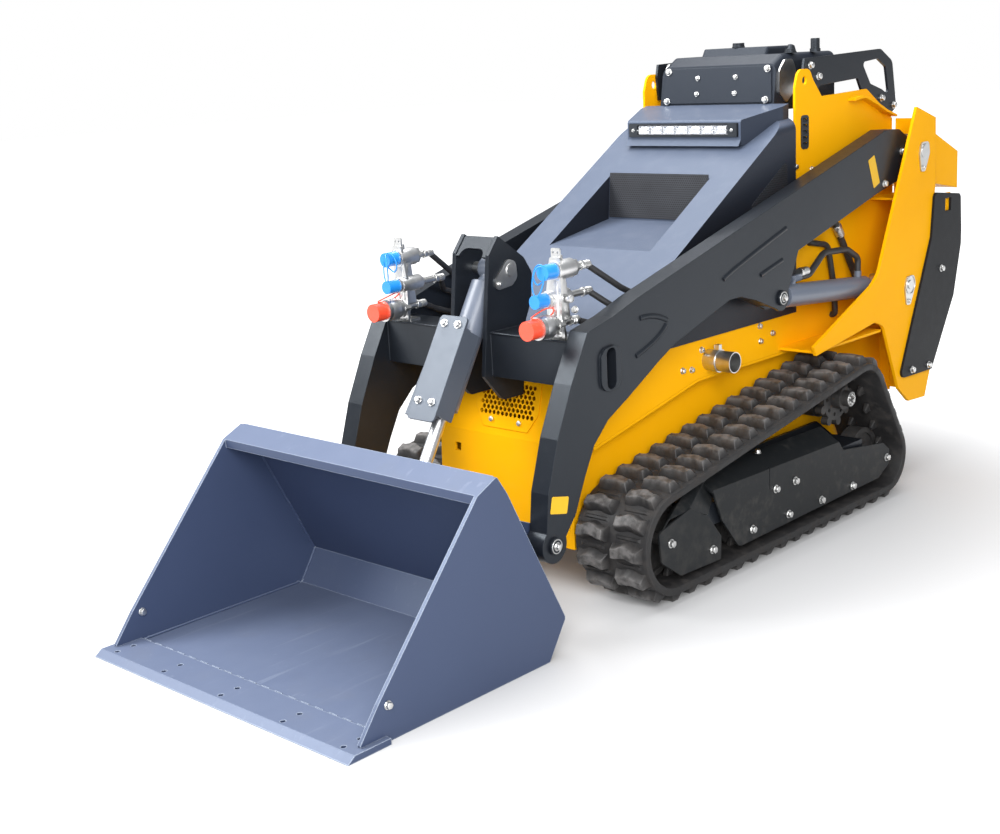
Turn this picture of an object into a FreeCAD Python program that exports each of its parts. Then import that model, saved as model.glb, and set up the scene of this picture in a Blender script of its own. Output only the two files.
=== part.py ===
import FreeCAD, Part
import math
import os
import re
import Sketcher

os.makedirs("parts", exist_ok=True)
doc = FreeCAD.newDocument("mini_track_loader")

# ---------------------------------------------------------------- driving dimensions (mm)
# Stations run rearwards from the bucket lip's tip; heights run up from the ground.
# Half widths are measured from the machine's centre plane, +X being the machine's left.
DIMENSIONS = [
    ("machine_length", 2770),
    # bucket
    ("lip_half", 470), ("lip_thick", 15), ("lip_depth", 122), ("lip_bevel", 21),
    ("lip_bolt_side", 420), ("lip_bolt_mid", 222), ("lip_bolt_row_a", 34), ("lip_bolt_row_b", 80),
    ("lip_bolt_hole", 6.5),
    ("bucket_half", 456), ("bucket_sheet", 8), ("bucket_side", 10),
    ("bucket_floor_end", 640), ("bucket_heel_station", 702), ("bucket_heel_height", 92),
    ("bucket_neck_station", 524), ("bucket_neck_height", 442),
    ("bucket_top_station", 493), ("bucket_top_height", 488),
    ("bucket_brow_station", 430), ("bucket_brow_height", 459),
    ("bucket_cheek_station", 49), ("bucket_cheek_height", 20),
    ("bucket_plate_half", 322), ("bucket_lug_thick", 14), ("bucket_lug_gap", 10),
    # bucket hinge and tilt linkage
    ("hinge_station", 765), ("hinge_height", 235), ("hinge_pin", 15),
    ("tilt_eye_station", 697), ("tilt_eye_height", 375),
    ("tilt_top_station", 985), ("tilt_top_height", 852), ("tilt_pin", 15),
    ("tilt_bore", 37), ("tilt_rod_radius", 17), ("tilt_barrel_len", 385),
    # loader arms
    ("arm_inner", 320), ("arm_outer", 375), ("arm_boss_radius", 44), ("lift_boss_radius", 37),
    ("arm_pivot_radius", 52),
    ("pivot_station", 2520), ("pivot_height", 1030), ("pivot_pin", 20),
    ("lift_eye_station", 1762), ("lift_eye_height", 684),
    ("lift_base_station", 2440), ("lift_base_height", 625),
    ("guard_start", 160), ("guard_end", 440), ("guard_off", 64), ("guard_sheet_thick", 6),
    ("ram_neck", 46), ("ram_cap", 12), ("tilt_draw", 60),
    ("lift_pin", 15), ("lift_bore", 33), ("lift_rod_radius", 17), ("lift_barrel_len", 500),
    ("collar_thick", 7), ("slot_station", 994), ("slot_height", 628), ("slot_length", 108), ("slot_width", 36),
    # arm cross tube and centre bracket
    ("tube_station", 905), ("tube_depth", 110), ("tube_base", 590), ("tube_rise", 112),
    ("ear_half", 64), ("ear_thick", 12),
    # undercarriage
    ("belt_inner", 248), ("belt_width", 230), ("belt_thick", 22), ("lug_rise", 24),
    ("lug_count", 42), ("lug_row", 92), ("lug_inset", 12), ("wheel_half", 24),
    ("front_idler_station", 1122), ("front_idler_height", 160),
    ("sprocket_station", 2060), ("sprocket_height", 338), ("sprocket_wrap", 112),
    ("rear_idler_station", 2198), ("rear_idler_height", 130),
    ("roller_first", 1300), ("roller_pitch", 176), ("roller_count", 5),
    ("seat_gap", 0.3), ("fit_gap", 0.05),
    ("rail_inner", 262), ("rail_plate", 10), ("cover_outer", 462), ("cover_plate", 6),
    # chassis
    ("tub_half", 240), ("wall_half", 275), ("shell_plate", 8), ("belly_height", 133),
    ("grille_half", 112), ("grille_foot", 79), ("grille_hole", 6.4), ("grille_pitch", 15),
    ("nose_station", 1000), ("nose_bend", 400), ("nose_top", 600), ("deck_height", 600), ("sill_height", 492),
    ("vent_station", 2044), ("vent_width", 30), ("vent_height", 87), ("vent_top", 1121), ("vent_low", 932),
    ("retainer_thick", 5),
    ("tower_outer", 405), ("tower_plate", 10), ("tub_rear", 2560),
    ("guard_plate", 8),
    # folding platform
    ("fold_station", 2599), ("fold_height", 278), ("fold_pin", 8), ("platform_half", 372),
    ("fold_lug_inner", 242), ("fold_lug_thick", 14),
    # hood
    ("hood_half", 280), ("hood_shoulder", 34), ("hood_skin", 6), ("hood_front", 1072), ("hood_foot", 640),
    ("hood_rear", 1990), ("hood_crown", 1206),
    ("lamp_station", 1824), ("lamp_half", 195), ("lamp_low", 1116), ("lamp_high", 1170),
    ("recess_half", 180), ("recess_top", 1704), ("recess_foot", 1405), ("recess_floor", 905),
    # console
    ("console_half", 204), ("console_front", 1990), ("console_rear", 2330), ("console_top", 1346),
    # exhaust
    ("exhaust_radius", 29), ("exhaust_wall", 2.5), ("exhaust_station", 1545), ("exhaust_height", 538),
]

sheet = doc.addObject("Spreadsheet::Sheet", "Dims")
for row, (alias, number) in enumerate(DIMENSIONS, start=1):
    sheet.set(f"A{row}", alias)
    sheet.set(f"B{row}", str(number))
    sheet.setAlias(f"B{row}", alias)
doc.recompute()
ALIASES = {alias for alias, number in DIMENSIONS}


def dim(alias):
    """Return the present value of a cell of the sheet."""
    return float(getattr(sheet, alias))


def full(expression):
    """Write an expression's bare aliases as references to the sheet."""
    return re.sub(r"[A-Za-z_]\w*", lambda m: "Dims." + m.group(0) if m.group(0) in ALIASES else m.group(0),
                  str(expression))


def bind(thing, **sizes):
    """Bind properties of an object to expressions in the sheet's aliases."""
    for prop, expression in sizes.items():
        thing.setExpression(prop, full(expression))
    return thing


def station(expression):
    """Turn a station into a Y expression of the frame, whose origin is at mid length."""
    return f"({expression}) - machine_length / 2"


def place(thing, x="0", at="machine_length / 2", z="0"):
    """Bind an object's position: half width, station and height."""
    thing.setExpression("Placement.Base.x", full(x))
    thing.setExpression("Placement.Base.y", full(station(at)))
    thing.setExpression("Placement.Base.z", full(z))
    return thing


def turned(thing, axis, degrees):
    """Turn an object about one of its own axes."""
    thing.Placement = FreeCAD.Placement(thing.Placement.Base, FreeCAD.Rotation(FreeCAD.Vector(*axis), degrees))
    return thing


def block(name, size, x, at, z):
    """A box from its sizes and its lowest corner."""
    thing = doc.addObject("Part::Box", name)
    bind(thing, Length=size[0], Width=size[1], Height=size[2])
    return place(thing, x, at, z)


def rod(name, radius, length, x, at, z, axis="x"):
    """A cylinder along X, Y or Z from the centre of its first end."""
    thing = doc.addObject("Part::Cylinder", name)
    bind(thing, Radius=radius, Height=length)
    if axis == "x":
        turned(thing, (0, 1, 0), 90)
    if axis == "y":
        turned(thing, (1, 0, 0), -90)
    return place(thing, x, at, z)


def hexagon(name, radius, length, x, at, z, axis="x"):
    """A six-sided prism along X, Y or Z from the centre of its first end."""
    thing = doc.addObject("Part::Prism", name)
    thing.Polygon = 6
    bind(thing, Circumradius=radius, Height=length)
    if axis == "x":
        turned(thing, (0, 1, 0), 90)
    if axis == "y":
        turned(thing, (1, 0, 0), -90)
    return place(thing, x, at, z)


def hose(name, radius, route):
    """A hose of straight runs and tangent arcs; route holds (x, station, height, bend radius there)."""
    middle = dim("machine_length") / 2
    points = [FreeCAD.Vector(sheet_value(x), sheet_value(at) - middle, sheet_value(z)) for x, at, z, bend in route]
    size = sheet_value(radius)
    runs = []
    start = points[0]
    for i in range(1, len(points) - 1):
        corner = points[i]
        bend = sheet_value(route[i][3])
        back = (points[i - 1] - corner).normalize()
        ahead = (points[i + 1] - corner).normalize()
        half = back.getAngle(ahead) / 2
        first = corner + back * (bend / math.tan(half))
        last = corner + ahead * (bend / math.tan(half))
        centre = corner + (back + ahead).normalize() * (bend / math.sin(half))
        section = Part.Face(Part.Wire(Part.Circle(first, back, size).toShape()))
        runs.append(Part.makeCylinder(size, (first - start).Length, start, first - start))
        runs.append(section.revolve(centre, back.cross(first - centre), 180 - math.degrees(2 * half)))
        start = last
    runs.append(Part.makeCylinder(size, (points[-1] - start).Length, start, points[-1] - start))
    thing = doc.addObject("Part::Feature", name)
    thing.Shape = runs[0].multiFuse(runs[1:])
    return thing


SIDEWAYS = FreeCAD.Rotation(FreeCAD.Vector(1, 1, 1), 120)


def closed_sketch(body, name, corners):
    """A closed sketch of straight lines, each corner tied to the sheet."""
    sketch = body.newObject("Sketcher::SketchObject", name)
    count = len(corners)
    start = [FreeCAD.Vector(sheet_value(a), sheet_value(b), 0) for a, b in corners]
    for i in range(count):
        sketch.addGeometry(Part.LineSegment(start[i], start[(i + 1) % count]), False)
    for i in range(count):
        sketch.addConstraint(Sketcher.Constraint("Coincident", i, 2, (i + 1) % count, 1))
    for i, (across, up) in enumerate(corners):
        for kind, expression in (("DistanceX", across), ("DistanceY", up)):
            number = start[i].x if kind == "DistanceX" else start[i].y
            index = sketch.addConstraint(Sketcher.Constraint(kind, -1, 1, i, 1, number))
            sketch.setExpression(f"Constraints[{index}]", full(expression))
    return sketch


def sheet_value(expression):
    """Work out an expression of aliases and plain numbers."""
    total = re.sub(r"[A-Za-z_]\w*", lambda m: repr(dim(m.group(0))) if m.group(0) in ALIASES else m.group(0),
                   str(expression))
    return FreeCAD.Units.Quantity(total).Value


def round_corners(body, sketch, corners, rounds, brims=False):
    """Round a pad's edges at the numbered corners, or with brims along the numbered outline lines."""
    across = sketch.Placement.Rotation.multVec(FreeCAD.Vector(0, 0, 1))

    def near(point, index):
        corner = corners[index % len(corners)]
        spot = sketch.Placement.multVec(FreeCAD.Vector(sheet_value(corner[0]), sheet_value(corner[1]), 0))
        apart = point - spot
        return (apart - across * apart.dot(across)).Length < 0.01

    for number, (radius, indices) in enumerate(rounds.items()):
        tip = body.Tip
        edges = []
        for i in indices:
            for k, edge in enumerate(tip.Shape.Edges, start=1):
                ends = [v.Point for v in edge.Vertexes]
                if len(ends) != 2 or (ends[0] - ends[1]).Length < 0.5:
                    continue
                a, b = ends
                along = near(a, i) and near(b, i)
                if brims:
                    along = (near(a, i) and near(b, i + 1)) or (near(b, i) and near(a, i + 1))
                if along:
                    edges.append(f"Edge{k}")
        fillet = body.newObject("PartDesign::Fillet", f"{body.Name}_{'brim' if brims else 'round'}{number}")
        fillet.Base = (tip, edges)
        bind(fillet, Radius=radius)
        doc.recompute()


def padded_outline(name, corners, turn, x, at, z, thick, rounds):
    """A body of one sketched outline, turned, placed and padded along its normal."""
    body = doc.addObject("PartDesign::Body", name)
    sketch = closed_sketch(body, name + "_outline", corners)
    sketch.Placement = FreeCAD.Placement(FreeCAD.Vector(), turn)
    place(sketch, x, at, z)
    pad = body.newObject("PartDesign::Pad", name + "_pad")
    pad.Profile = sketch
    bind(pad, Length=thick)
    doc.recompute()
    round_corners(body, sketch, corners, rounds or {})
    return body, sketch


def plate(name, corners, x, thick, rounds=None, brims=None):
    """A plate with a side outline of (station, height) corners, padded along +X.

    rounds maps a radius expression to the indices of the corners it rounds, and brims to the
    outline lines whose edges it rounds along both faces.
    """
    body, sketch = padded_outline(name, corners, SIDEWAYS, x, "0", "0", thick, rounds)
    round_corners(body, sketch, corners, brims or {}, brims=True)
    return body


def panel(name, corners, x, at, z, thick, lean=90, rounds=None):
    """A plate whose (half width, run) outline lies in a plane leaning back by so many degrees.

    At 90 it stands upright and is padded forwards; at 0 it lies flat and is padded upwards.
    """
    turn = FreeCAD.Rotation(FreeCAD.Vector(1, 0, 0), lean)
    body, sketch = padded_outline(name, corners, turn, x, at, z, thick, rounds)
    return body


def joined(name, *pieces):
    """Fuse pieces into one solid."""
    thing = doc.addObject("Part::MultiFuse", name)
    thing.Shapes = list(pieces)
    thing.Refine = True
    return thing


def grouped(name, *pieces):
    """Like pieces that don't touch, kept in one node."""
    thing = doc.addObject("Part::Compound", name)
    thing.Links = list(pieces)
    return thing


def cut(name, base, *tools):
    """Cut one or more tools from a base."""
    tool = tools[0] if len(tools) == 1 else joined(name + "_tools", *tools)
    thing = doc.addObject("Part::Cut", name)
    thing.Base = base
    thing.Tool = tool
    return thing


def mirrored(name, source):
    """The right-hand copy of a left-hand piece."""
    thing = doc.addObject("Part::Mirroring", name)
    thing.Source = source
    thing.Normal = (1, 0, 0)
    return thing


nodes = []


def node(thing, name=None):
    """Name an object as one of the part's nodes."""
    if name:
        thing.Label = name
    nodes.append(thing)
    return thing


def pair(thing, stem):
    """Make a left-hand piece and its mirrored right-hand copy into two nodes."""
    node(thing, stem + "_left")
    return node(mirrored(stem + "_right_copy", thing), stem + "_right")


def twins(thing, name):
    """Keep a left-hand piece and its mirrored right-hand copy in one node."""
    return node(grouped(name + "_twins", thing, mirrored(name + "_right_copy", thing)), name)


# ---------------------------------------------------------------- bucket
side_outline = [
    ("bucket_cheek_station", "lip_thick"),
    ("bucket_cheek_station", "bucket_cheek_height"),
    ("104", "90"),
    ("bucket_brow_station", "bucket_brow_height"),
    ("bucket_top_station", "bucket_top_height"),
    ("bucket_neck_station", "bucket_neck_height"),
    ("bucket_heel_station", "bucket_heel_height"),
    ("bucket_floor_end", "0"),
    ("lip_depth", "0"),
    ("lip_depth", "lip_thick"),
]
cheek = plate("bucket_cheek", side_outline, "bucket_half - bucket_side", "bucket_side", {"6": [3, 4], "12": [6]})
cheek_copy = mirrored("bucket_cheek_copy", cheek)
skin = plate("bucket_skin", [
    ("lip_depth", "0"),
    ("bucket_floor_end", "0"),
    ("bucket_heel_station", "bucket_heel_height"),
    ("bucket_neck_station", "bucket_neck_height"),
    ("bucket_top_station", "bucket_top_height"),
    ("bucket_brow_station", "bucket_brow_height"),
    ("bucket_brow_station + 1", "bucket_brow_height - 22"),
    ("bucket_brow_station + 8", "bucket_brow_height - 22"),
    ("bucket_brow_station + 8", "bucket_brow_height - 6"),
    ("bucket_top_station - 3", "bucket_top_height - 13"),
    ("bucket_neck_station - 9", "bucket_neck_height - 3"),
    ("bucket_heel_station - 9", "bucket_heel_height + 1"),
    ("bucket_floor_end - 4", "bucket_sheet"),
    ("lip_depth", "bucket_sheet"),
], "-(bucket_half - bucket_side)", "2 * (bucket_half - bucket_side)")
bucket_body = joined("bucket_body", skin, cheek, cheek_copy)
node(bucket_body, "bucket_shell")

lip = plate("lip_bar", [
    ("0", "0"), ("lip_depth", "0"), ("lip_depth", "lip_thick"), ("lip_bevel", "lip_thick"),
], "-lip_half", "2 * lip_half")
lip_holes = []
for tag, side in (("a", "-lip_bolt_side"), ("b", "-lip_bolt_mid"), ("c", "0"), ("d", "lip_bolt_mid"),
                  ("e", "lip_bolt_side")):
    for rank in ("a", "b"):
        lip_holes.append(rod(f"lip_hole_{tag}{rank}", "lip_bolt_hole", "lip_thick + 2",
                             side, f"lip_bolt_row_{rank}", "-1", "z"))
node(cut("lip", lip, *lip_holes), "cutting_edge")

# coupler frame on the bucket's back: a backing plate with two pairs of hinge lugs and the tilt lugs
WALL_RUN = "(bucket_neck_station - bucket_heel_station)"
WALL_CLIMB = "(bucket_neck_height - bucket_heel_height)"


def on_wall(share, off="0"):
    """A corner on the bucket's back wall, a share of the way up it and moved rearwards by off."""
    return (f"bucket_heel_station + {share} * {WALL_RUN} + {off}",
            f"bucket_heel_height + {share} * {WALL_CLIMB} + {off} / 2")


back = plate("bucket_back_plate", [
    on_wall("0.06"), on_wall("0.86"), on_wall("0.86", "11"), on_wall("0.06", "11"),
], "-bucket_plate_half", "2 * bucket_plate_half")
hinge_lug_outline = [
    on_wall("0.14"),
    on_wall("0.78"),
    ("hinge_station + 10", "hinge_height + 40"),
    ("hinge_station + 40", "hinge_height + 10"),
    ("hinge_station + 34", "hinge_height - 30"),
    ("hinge_station - 6", "hinge_height - 42"),
]
lug = plate("hinge_lug", hinge_lug_outline, "arm_inner - 6 - 18", "18", {"24": [2, 3, 4], "20": [5]})
lug_bore = rod("hinge_lug_bore", "hinge_pin + fit_gap", "40", "arm_inner - 40", "hinge_station", "hinge_height")
lug_left = cut("hinge_lug_left", lug, lug_bore)
lug_right = mirrored("hinge_lug_right", lug_left)
tilt_lug = plate("tilt_lug", [
    on_wall("0.56"),
    on_wall("0.84"),
    ("tilt_eye_station - 14", "tilt_eye_height + 28"),
    ("tilt_eye_station + 22", "tilt_eye_height + 18"),
    ("tilt_eye_station + 24", "tilt_eye_height - 22"),
    ("tilt_eye_station - 18", "tilt_eye_height - 70"),
], "tilt_rod_radius + 4", "bucket_lug_thick", {"20": [2, 3, 4]})
tilt_bore_tool = rod("tilt_lug_bore", "tilt_pin + fit_gap", "60", "0", "tilt_eye_station", "tilt_eye_height")
tilt_left = cut("tilt_lug_left", tilt_lug, tilt_bore_tool)
tilt_right = mirrored("tilt_lug_right", tilt_left)
node(joined("bucket_mount_weldment", back, lug_left, lug_right, tilt_left, tilt_right), "bucket_mount")
stub = rod("tilt_eye_stub", "tilt_pin", "bucket_lug_thick + 8", "tilt_rod_radius + 4", "tilt_eye_station",
           "tilt_eye_height")
stub_head = rod("tilt_eye_stub_head", "tilt_pin + 6", "6", "tilt_rod_radius + 4 + bucket_lug_thick + 0.3",
                "tilt_eye_station", "tilt_eye_height")
twins(joined("tilt_eye_pin_half", stub, stub_head), "tilt_eye_pins")

# ---------------------------------------------------------------- loader arms
arm_outline = [
    ("hinge_station - 28", "hinge_height + 20"),
    ("750", "365"), ("791", "491"), ("849", "613"), ("915", "729"),
    ("1012", "752"), ("1113", "784"),
    ("2345", "1106"), ("2421", "1103"), ("2472", "1077"), ("pivot_station", "pivot_height"),
    ("pivot_station - 20", "pivot_height - 64"),
    ("2290", "921"), ("1850", "806"),
    ("lift_eye_station + 34", "lift_eye_height + 17"),
    ("lift_eye_station - 20", "lift_eye_height - 30"),
    ("1634", "697"), ("1563", "717"), ("1509", "717"),
    ("1260", "641"), ("1191", "608"),
    ("1065", "541"), ("982", "500"), ("926", "449"), ("886", "377"), ("847", "294"),
    ("hinge_station + 42", "hinge_height + 12"), ("hinge_station", "hinge_height"),
]
ARM_WIDTH = "arm_outer - arm_inner"
arm = joined("arm_solid",
             plate("arm_plate", arm_outline, "arm_inner", ARM_WIDTH),
             rod("arm_hinge_disc", "arm_boss_radius", ARM_WIDTH, "arm_inner", "hinge_station", "hinge_height"),
             rod("arm_pivot_disc", "arm_pivot_radius", ARM_WIDTH, "arm_inner", "pivot_station", "pivot_height"),
             rod("arm_lift_disc", "lift_boss_radius", ARM_WIDTH, "arm_inner", "lift_eye_station",
                 "lift_eye_height"))
arm_slot = plate("arm_slot_tool", [
    ("slot_station - slot_width / 2", "slot_height - slot_length / 2"),
    ("slot_station + slot_width / 2", "slot_height - slot_length / 2 + 6"),
    ("slot_station + slot_width / 2", "slot_height + slot_length / 2"),
    ("slot_station - slot_width / 2", "slot_height + slot_length / 2 - 6"),
], "arm_inner - 1", "arm_outer - arm_inner + collar_thick + 2", {"16": [0, 1, 2, 3]})
eye_gap = plate("lift_eye_gap", [
    ("lift_eye_station - 52", "lift_eye_height - 60"),
    ("lift_eye_station + 120", "lift_eye_height - 60"),
    ("lift_eye_station + 120", "lift_eye_height + 60"),
    ("lift_eye_station - 10", "lift_eye_height + 42"),
    ("lift_eye_station - 52", "lift_eye_height - 6"),
], "arm_inner + 9", "arm_outer - arm_inner - 18")
arm_bores = [
    rod("arm_hinge_bore", "hinge_pin + fit_gap", "80", "arm_inner - 10", "hinge_station", "hinge_height"),
    rod("arm_pivot_bore", "pivot_pin + fit_gap", "80", "arm_inner - 10", "pivot_station", "pivot_height"),
    rod("arm_lift_bore", "lift_pin + fit_gap", "80", "arm_inner - 10", "lift_eye_station", "lift_eye_height"),
]
slot_collar = plate("slot_collar_ring", [
    ("slot_station - 40", "slot_height - 60"), ("slot_station + 38", "slot_height - 50"),
    ("slot_station + 40", "slot_height + 60"), ("slot_station - 38", "slot_height + 50"),
], "arm_outer", "collar_thick", {"30": [0, 1, 2, 3]})
pair(cut("arm_weldment", joined("arm_with_collar", arm, slot_collar), arm_slot, eye_gap, *arm_bores), "arm")

tube = block("cross_tube_half", ("arm_inner - ear_half", "tube_depth", "tube_rise"),
             "ear_half", "tube_station", "tube_base")
tube_copy = mirrored("cross_tube_copy", tube)
node(grouped("cross_tube_pair", tube, tube_copy), "cross_tubes")
ear_outline = [
    ("tilt_top_station - 109", "tube_base + 3"), ("913", "898"), ("950", "942"), ("1042", "877"), ("1071", "834"),
    ("1063", "763"), ("1034", "tube_base + tube_rise"), ("1018", "521"), ("940", "521"),
]
ear = plate("ear_plate", ear_outline, "ear_half - ear_thick", "ear_thick", {"18": [3, 4, 8]})
ear_bore = rod("ear_bore", "tilt_pin + fit_gap", "40", "ear_half - 20", "tilt_top_station", "tilt_top_height")
ear_left = cut("ear_left", ear, ear_bore)
ear_right = mirrored("ear_right", ear_left)
saddle = panel("ear_saddle", [
    ("-(ear_half - ear_thick)", "0"), ("ear_half - ear_thick", "0"),
    ("ear_half - ear_thick", "60"), ("-(ear_half - ear_thick)", "60"),
], "0", "917", "888", "7", 50)
saddle_mouth = panel("saddle_mouth", [
    ("-(ear_half - 24)", "-14"), ("ear_half - 24", "-14"), ("ear_half - 24", "24"), ("-(ear_half - 24)", "24"),
], "0", "917", "888", "30", 50, {"22": [2, 3]})
node(joined("ear_weldment", ear_left, ear_right, cut("ear_saddle_cut", saddle, saddle_mouth)), "tilt_bracket")
tab = plate("top_retainer_tab", [
    ("975", "882"), ("928", "834"), ("930", "806"), ("990", "812"), ("1010", "830"), ("1006", "872"),
], "ear_half", "retainer_thick", {"14": [1, 2], "20": [0, 3, 4, 5]})
tab_bore = rod("top_retainer_bore", "tilt_pin + fit_gap", "30", "ear_half - 10", "tilt_top_station", "tilt_top_height")
twins(cut("top_retainer", tab, tab_bore), "top_retainers")
node(rod("tilt_top_pin_shaft", "tilt_pin", "2 * ear_half + 16", "-ear_half - 8",
         "tilt_top_station", "tilt_top_height"), "tilt_top_pin")


def headed_pin(name, radius, first, last, at, z):
    """A pin pressed in from outside, with a round head beyond its last end."""
    shaft = rod(name + "_shaft", radius, f"({last}) - ({first})", first, at, z)
    head = rod(name + "_head", f"{radius} + 7", "7", last, at, z)
    left = joined(name + "_one", shaft, head)
    return grouped(name + "_pair", left, mirrored(name + "_copy", left))


node(headed_pin("hinge_pin_set", "hinge_pin", "arm_inner - 26", "arm_outer + 0.3", "hinge_station",
                "hinge_height"), "hinge_pins")
node(headed_pin("lift_pin_set", "lift_pin", "arm_inner - 4", "arm_outer + 0.3", "lift_eye_station",
                "lift_eye_height"), "lift_eye_pins")
pivot_shaft = rod("pivot_pin_shaft", "pivot_pin", "tower_outer + retainer_thick + 3 - wall_half + shell_plate",
                  "wall_half - shell_plate", "pivot_station", "pivot_height")
twins(pivot_shaft, "pivot_pins")
ARM_MIDDLE = "(arm_inner + arm_outer) / 2"
inner_stub = rod("lift_base_inner_stub", "lift_pin", f"{ARM_MIDDLE} - 18.5 - wall_half + shell_plate",
                 "wall_half - shell_plate", "lift_base_station", "lift_base_height")
inner_boss = rod("lift_base_inner_boss", "lift_pin + 12", f"{ARM_MIDDLE} - 18.5 - wall_half - 0.3",
                 "wall_half + 0.3", "lift_base_station", "lift_base_height")
outer_stub = rod("lift_base_outer_stub", "lift_pin", f"tower_outer - {ARM_MIDDLE} - 18.5 + retainer_thick + 3",
                 f"{ARM_MIDDLE} + 18.5", "lift_base_station", "lift_base_height")
outer_boss = rod("lift_base_outer_boss", "lift_pin + 12", f"tower_outer - tower_plate - {ARM_MIDDLE} - 18.5 - 0.3",
                 f"{ARM_MIDDLE} + 18.5", "lift_base_station", "lift_base_height")
twins(grouped("lift_base_half", joined("lift_base_inner", inner_stub, inner_boss),
              joined("lift_base_outer", outer_stub, outer_boss)), "lift_base_pins")

# ---------------------------------------------------------------- lift and tilt cylinders

def ram(name, top, foot, barrel_len, bore, rod_radius, pin_radius, eye_width, x, draw):
    """A cylinder laid from its barrel's eye to its rod's eye: returns barrel and rod.

    top and foot are (station, height) expressions, and draw is how far the rod can still
    go in from rest.
    """
    dy = f"(({foot[0]}) - ({top[0]}))"
    dz = f"(({foot[1]}) - ({top[1]}))"
    run = sheet_value(foot[0]) - sheet_value(top[0])
    fall = sheet_value(foot[1]) - sheet_value(top[1])
    length = f"sqrt({dy} * {dy} + {dz} * {dz})"

    def along(part, start, radius, size):
        thing = doc.addObject("Part::Cylinder", f"{name}_{part}")
        bind(thing, Radius=radius, Height=size)
        thing.Placement = FreeCAD.Placement(FreeCAD.Vector(), FreeCAD.Rotation(
            FreeCAD.Vector(0, 0, 1), FreeCAD.Vector(0, run, fall)))
        place(thing, x, f"{top[0]} + ({start}) * {dy} / {length}", f"{top[1]} + ({start}) * {dz} / {length}")
        return thing

    top_eye = rod(name + "_top_eye", f"{pin_radius} + 14", eye_width, f"{x} - ({eye_width}) / 2", *top)
    top_bore = rod(name + "_top_bore", f"{pin_radius} + fit_gap", "120", f"{x} - 60", *top)
    foot_eye = rod(name + "_foot_eye", f"{pin_radius} + 13", eye_width, f"{x} - ({eye_width}) / 2", *foot)
    foot_bore = rod(name + "_foot_bore", f"{pin_radius} + fit_gap", "120", f"{x} - 60", *foot)
    neck = along("neck", pin_radius, f"({eye_width}) / 2 - 1", "ram_neck")
    tube_part = along("tube", "ram_neck", bore, f"{barrel_len} - ram_neck")
    hollow = along("hollow", "ram_neck + ram_cap", f"{rod_radius} + fit_gap", f"{barrel_len} - ram_neck")
    barrel = cut(name + "_barrel", joined(name + "_barrel_solid", neck, tube_part, top_eye), hollow, top_bore)
    inner_end = f"(ram_neck + ram_cap + {draw} + 4)"
    shank = along("shank", inner_end, rod_radius, f"({length}) - {inner_end} - {pin_radius} - 4")
    stem = cut(name + "_rod", joined(name + "_rod_solid", shank, foot_eye), foot_bore)
    return barrel, stem


lift_barrel, lift_rod = ram("lift", ("lift_eye_station", "lift_eye_height"),
                            ("lift_base_station", "lift_base_height"), "lift_barrel_len",
                            "lift_bore", "lift_rod_radius", "lift_pin", "34", ARM_MIDDLE, "0")
LIFT_RUN = "(lift_base_station - lift_eye_station)"
LIFT_FALL = "(lift_eye_height - lift_base_height)"
LIFT_SPAN = f"sqrt({LIFT_RUN} * {LIFT_RUN} + {LIFT_FALL} * {LIFT_FALL})"


def on_lift(along, off):
    """The place at a distance down the lift cylinder from its arm pin, moved off upwards."""
    return (f"(lift_eye_station + (({along}) * {LIFT_RUN} + ({off}) * {LIFT_FALL}) / {LIFT_SPAN})",
            f"(lift_eye_height - (({along}) * {LIFT_FALL} - ({off}) * {LIFT_RUN}) / {LIFT_SPAN})")


PORT_OFF = "lift_rod_radius + 8"
near_at, near_z = on_lift("98", PORT_OFF)
far_at, far_z = on_lift("lift_barrel_len - 36", PORT_OFF)
port_near = rod("lift_port_near", "9", "30", ARM_MIDDLE, near_at, near_z, "z")
port_nut = hexagon("lift_port_nut", "11", "46", ARM_MIDDLE, near_at + " - 9", near_z + " + 21", "y")
port_far = rod("lift_port_far", "11", "26", ARM_MIDDLE, far_at, far_z, "z")
twins(joined("lift_barrel_with_ports", lift_barrel, port_near, port_nut, port_far), "lift_barrels")
twins(hose("lift_hose", "9.5", [
    (ARM_MIDDLE, near_at + " + 37", near_z + " + 21", "0"),
    (ARM_MIDDLE, near_at + " + 88", near_z + " + 21", "40"),
    (ARM_MIDDLE, near_at + " + 168", near_z + " + 74", "45"),
    (ARM_MIDDLE, far_at + " - 66", near_z + " + 68", "45"),
    (ARM_MIDDLE, far_at, far_z + " + 66", "25"),
    (ARM_MIDDLE, far_at, far_z + " + 26", "0"),
]), "lift_hoses")
twins(lift_rod, "lift_rods")
tilt_barrel, tilt_rod = ram("tilt_ram", ("tilt_top_station", "tilt_top_height"),
                            ("tilt_eye_station", "tilt_eye_height"), "tilt_barrel_len",
                            "tilt_bore", "tilt_rod_radius", "tilt_pin", "40", "0", "tilt_draw")
TILT_RUN = "(tilt_top_station - tilt_eye_station)"
TILT_CLIMB = "(tilt_top_height - tilt_eye_height)"
TILT_SPAN = f"sqrt({TILT_RUN} * {TILT_RUN} + {TILT_CLIMB} * {TILT_CLIMB})"
TILT_LEAN = math.degrees(math.atan2(sheet_value(TILT_CLIMB), sheet_value(TILT_RUN)))


def on_tilt(along, off):
    """The place at a distance down the tilt cylinder from its top pin, moved off towards the front."""
    return (f"tilt_top_station - (({along}) * {TILT_RUN} + ({off}) * {TILT_CLIMB}) / {TILT_SPAN}",
            f"tilt_top_height - (({along}) * {TILT_CLIMB} - ({off}) * {TILT_RUN}) / {TILT_SPAN}")


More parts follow.
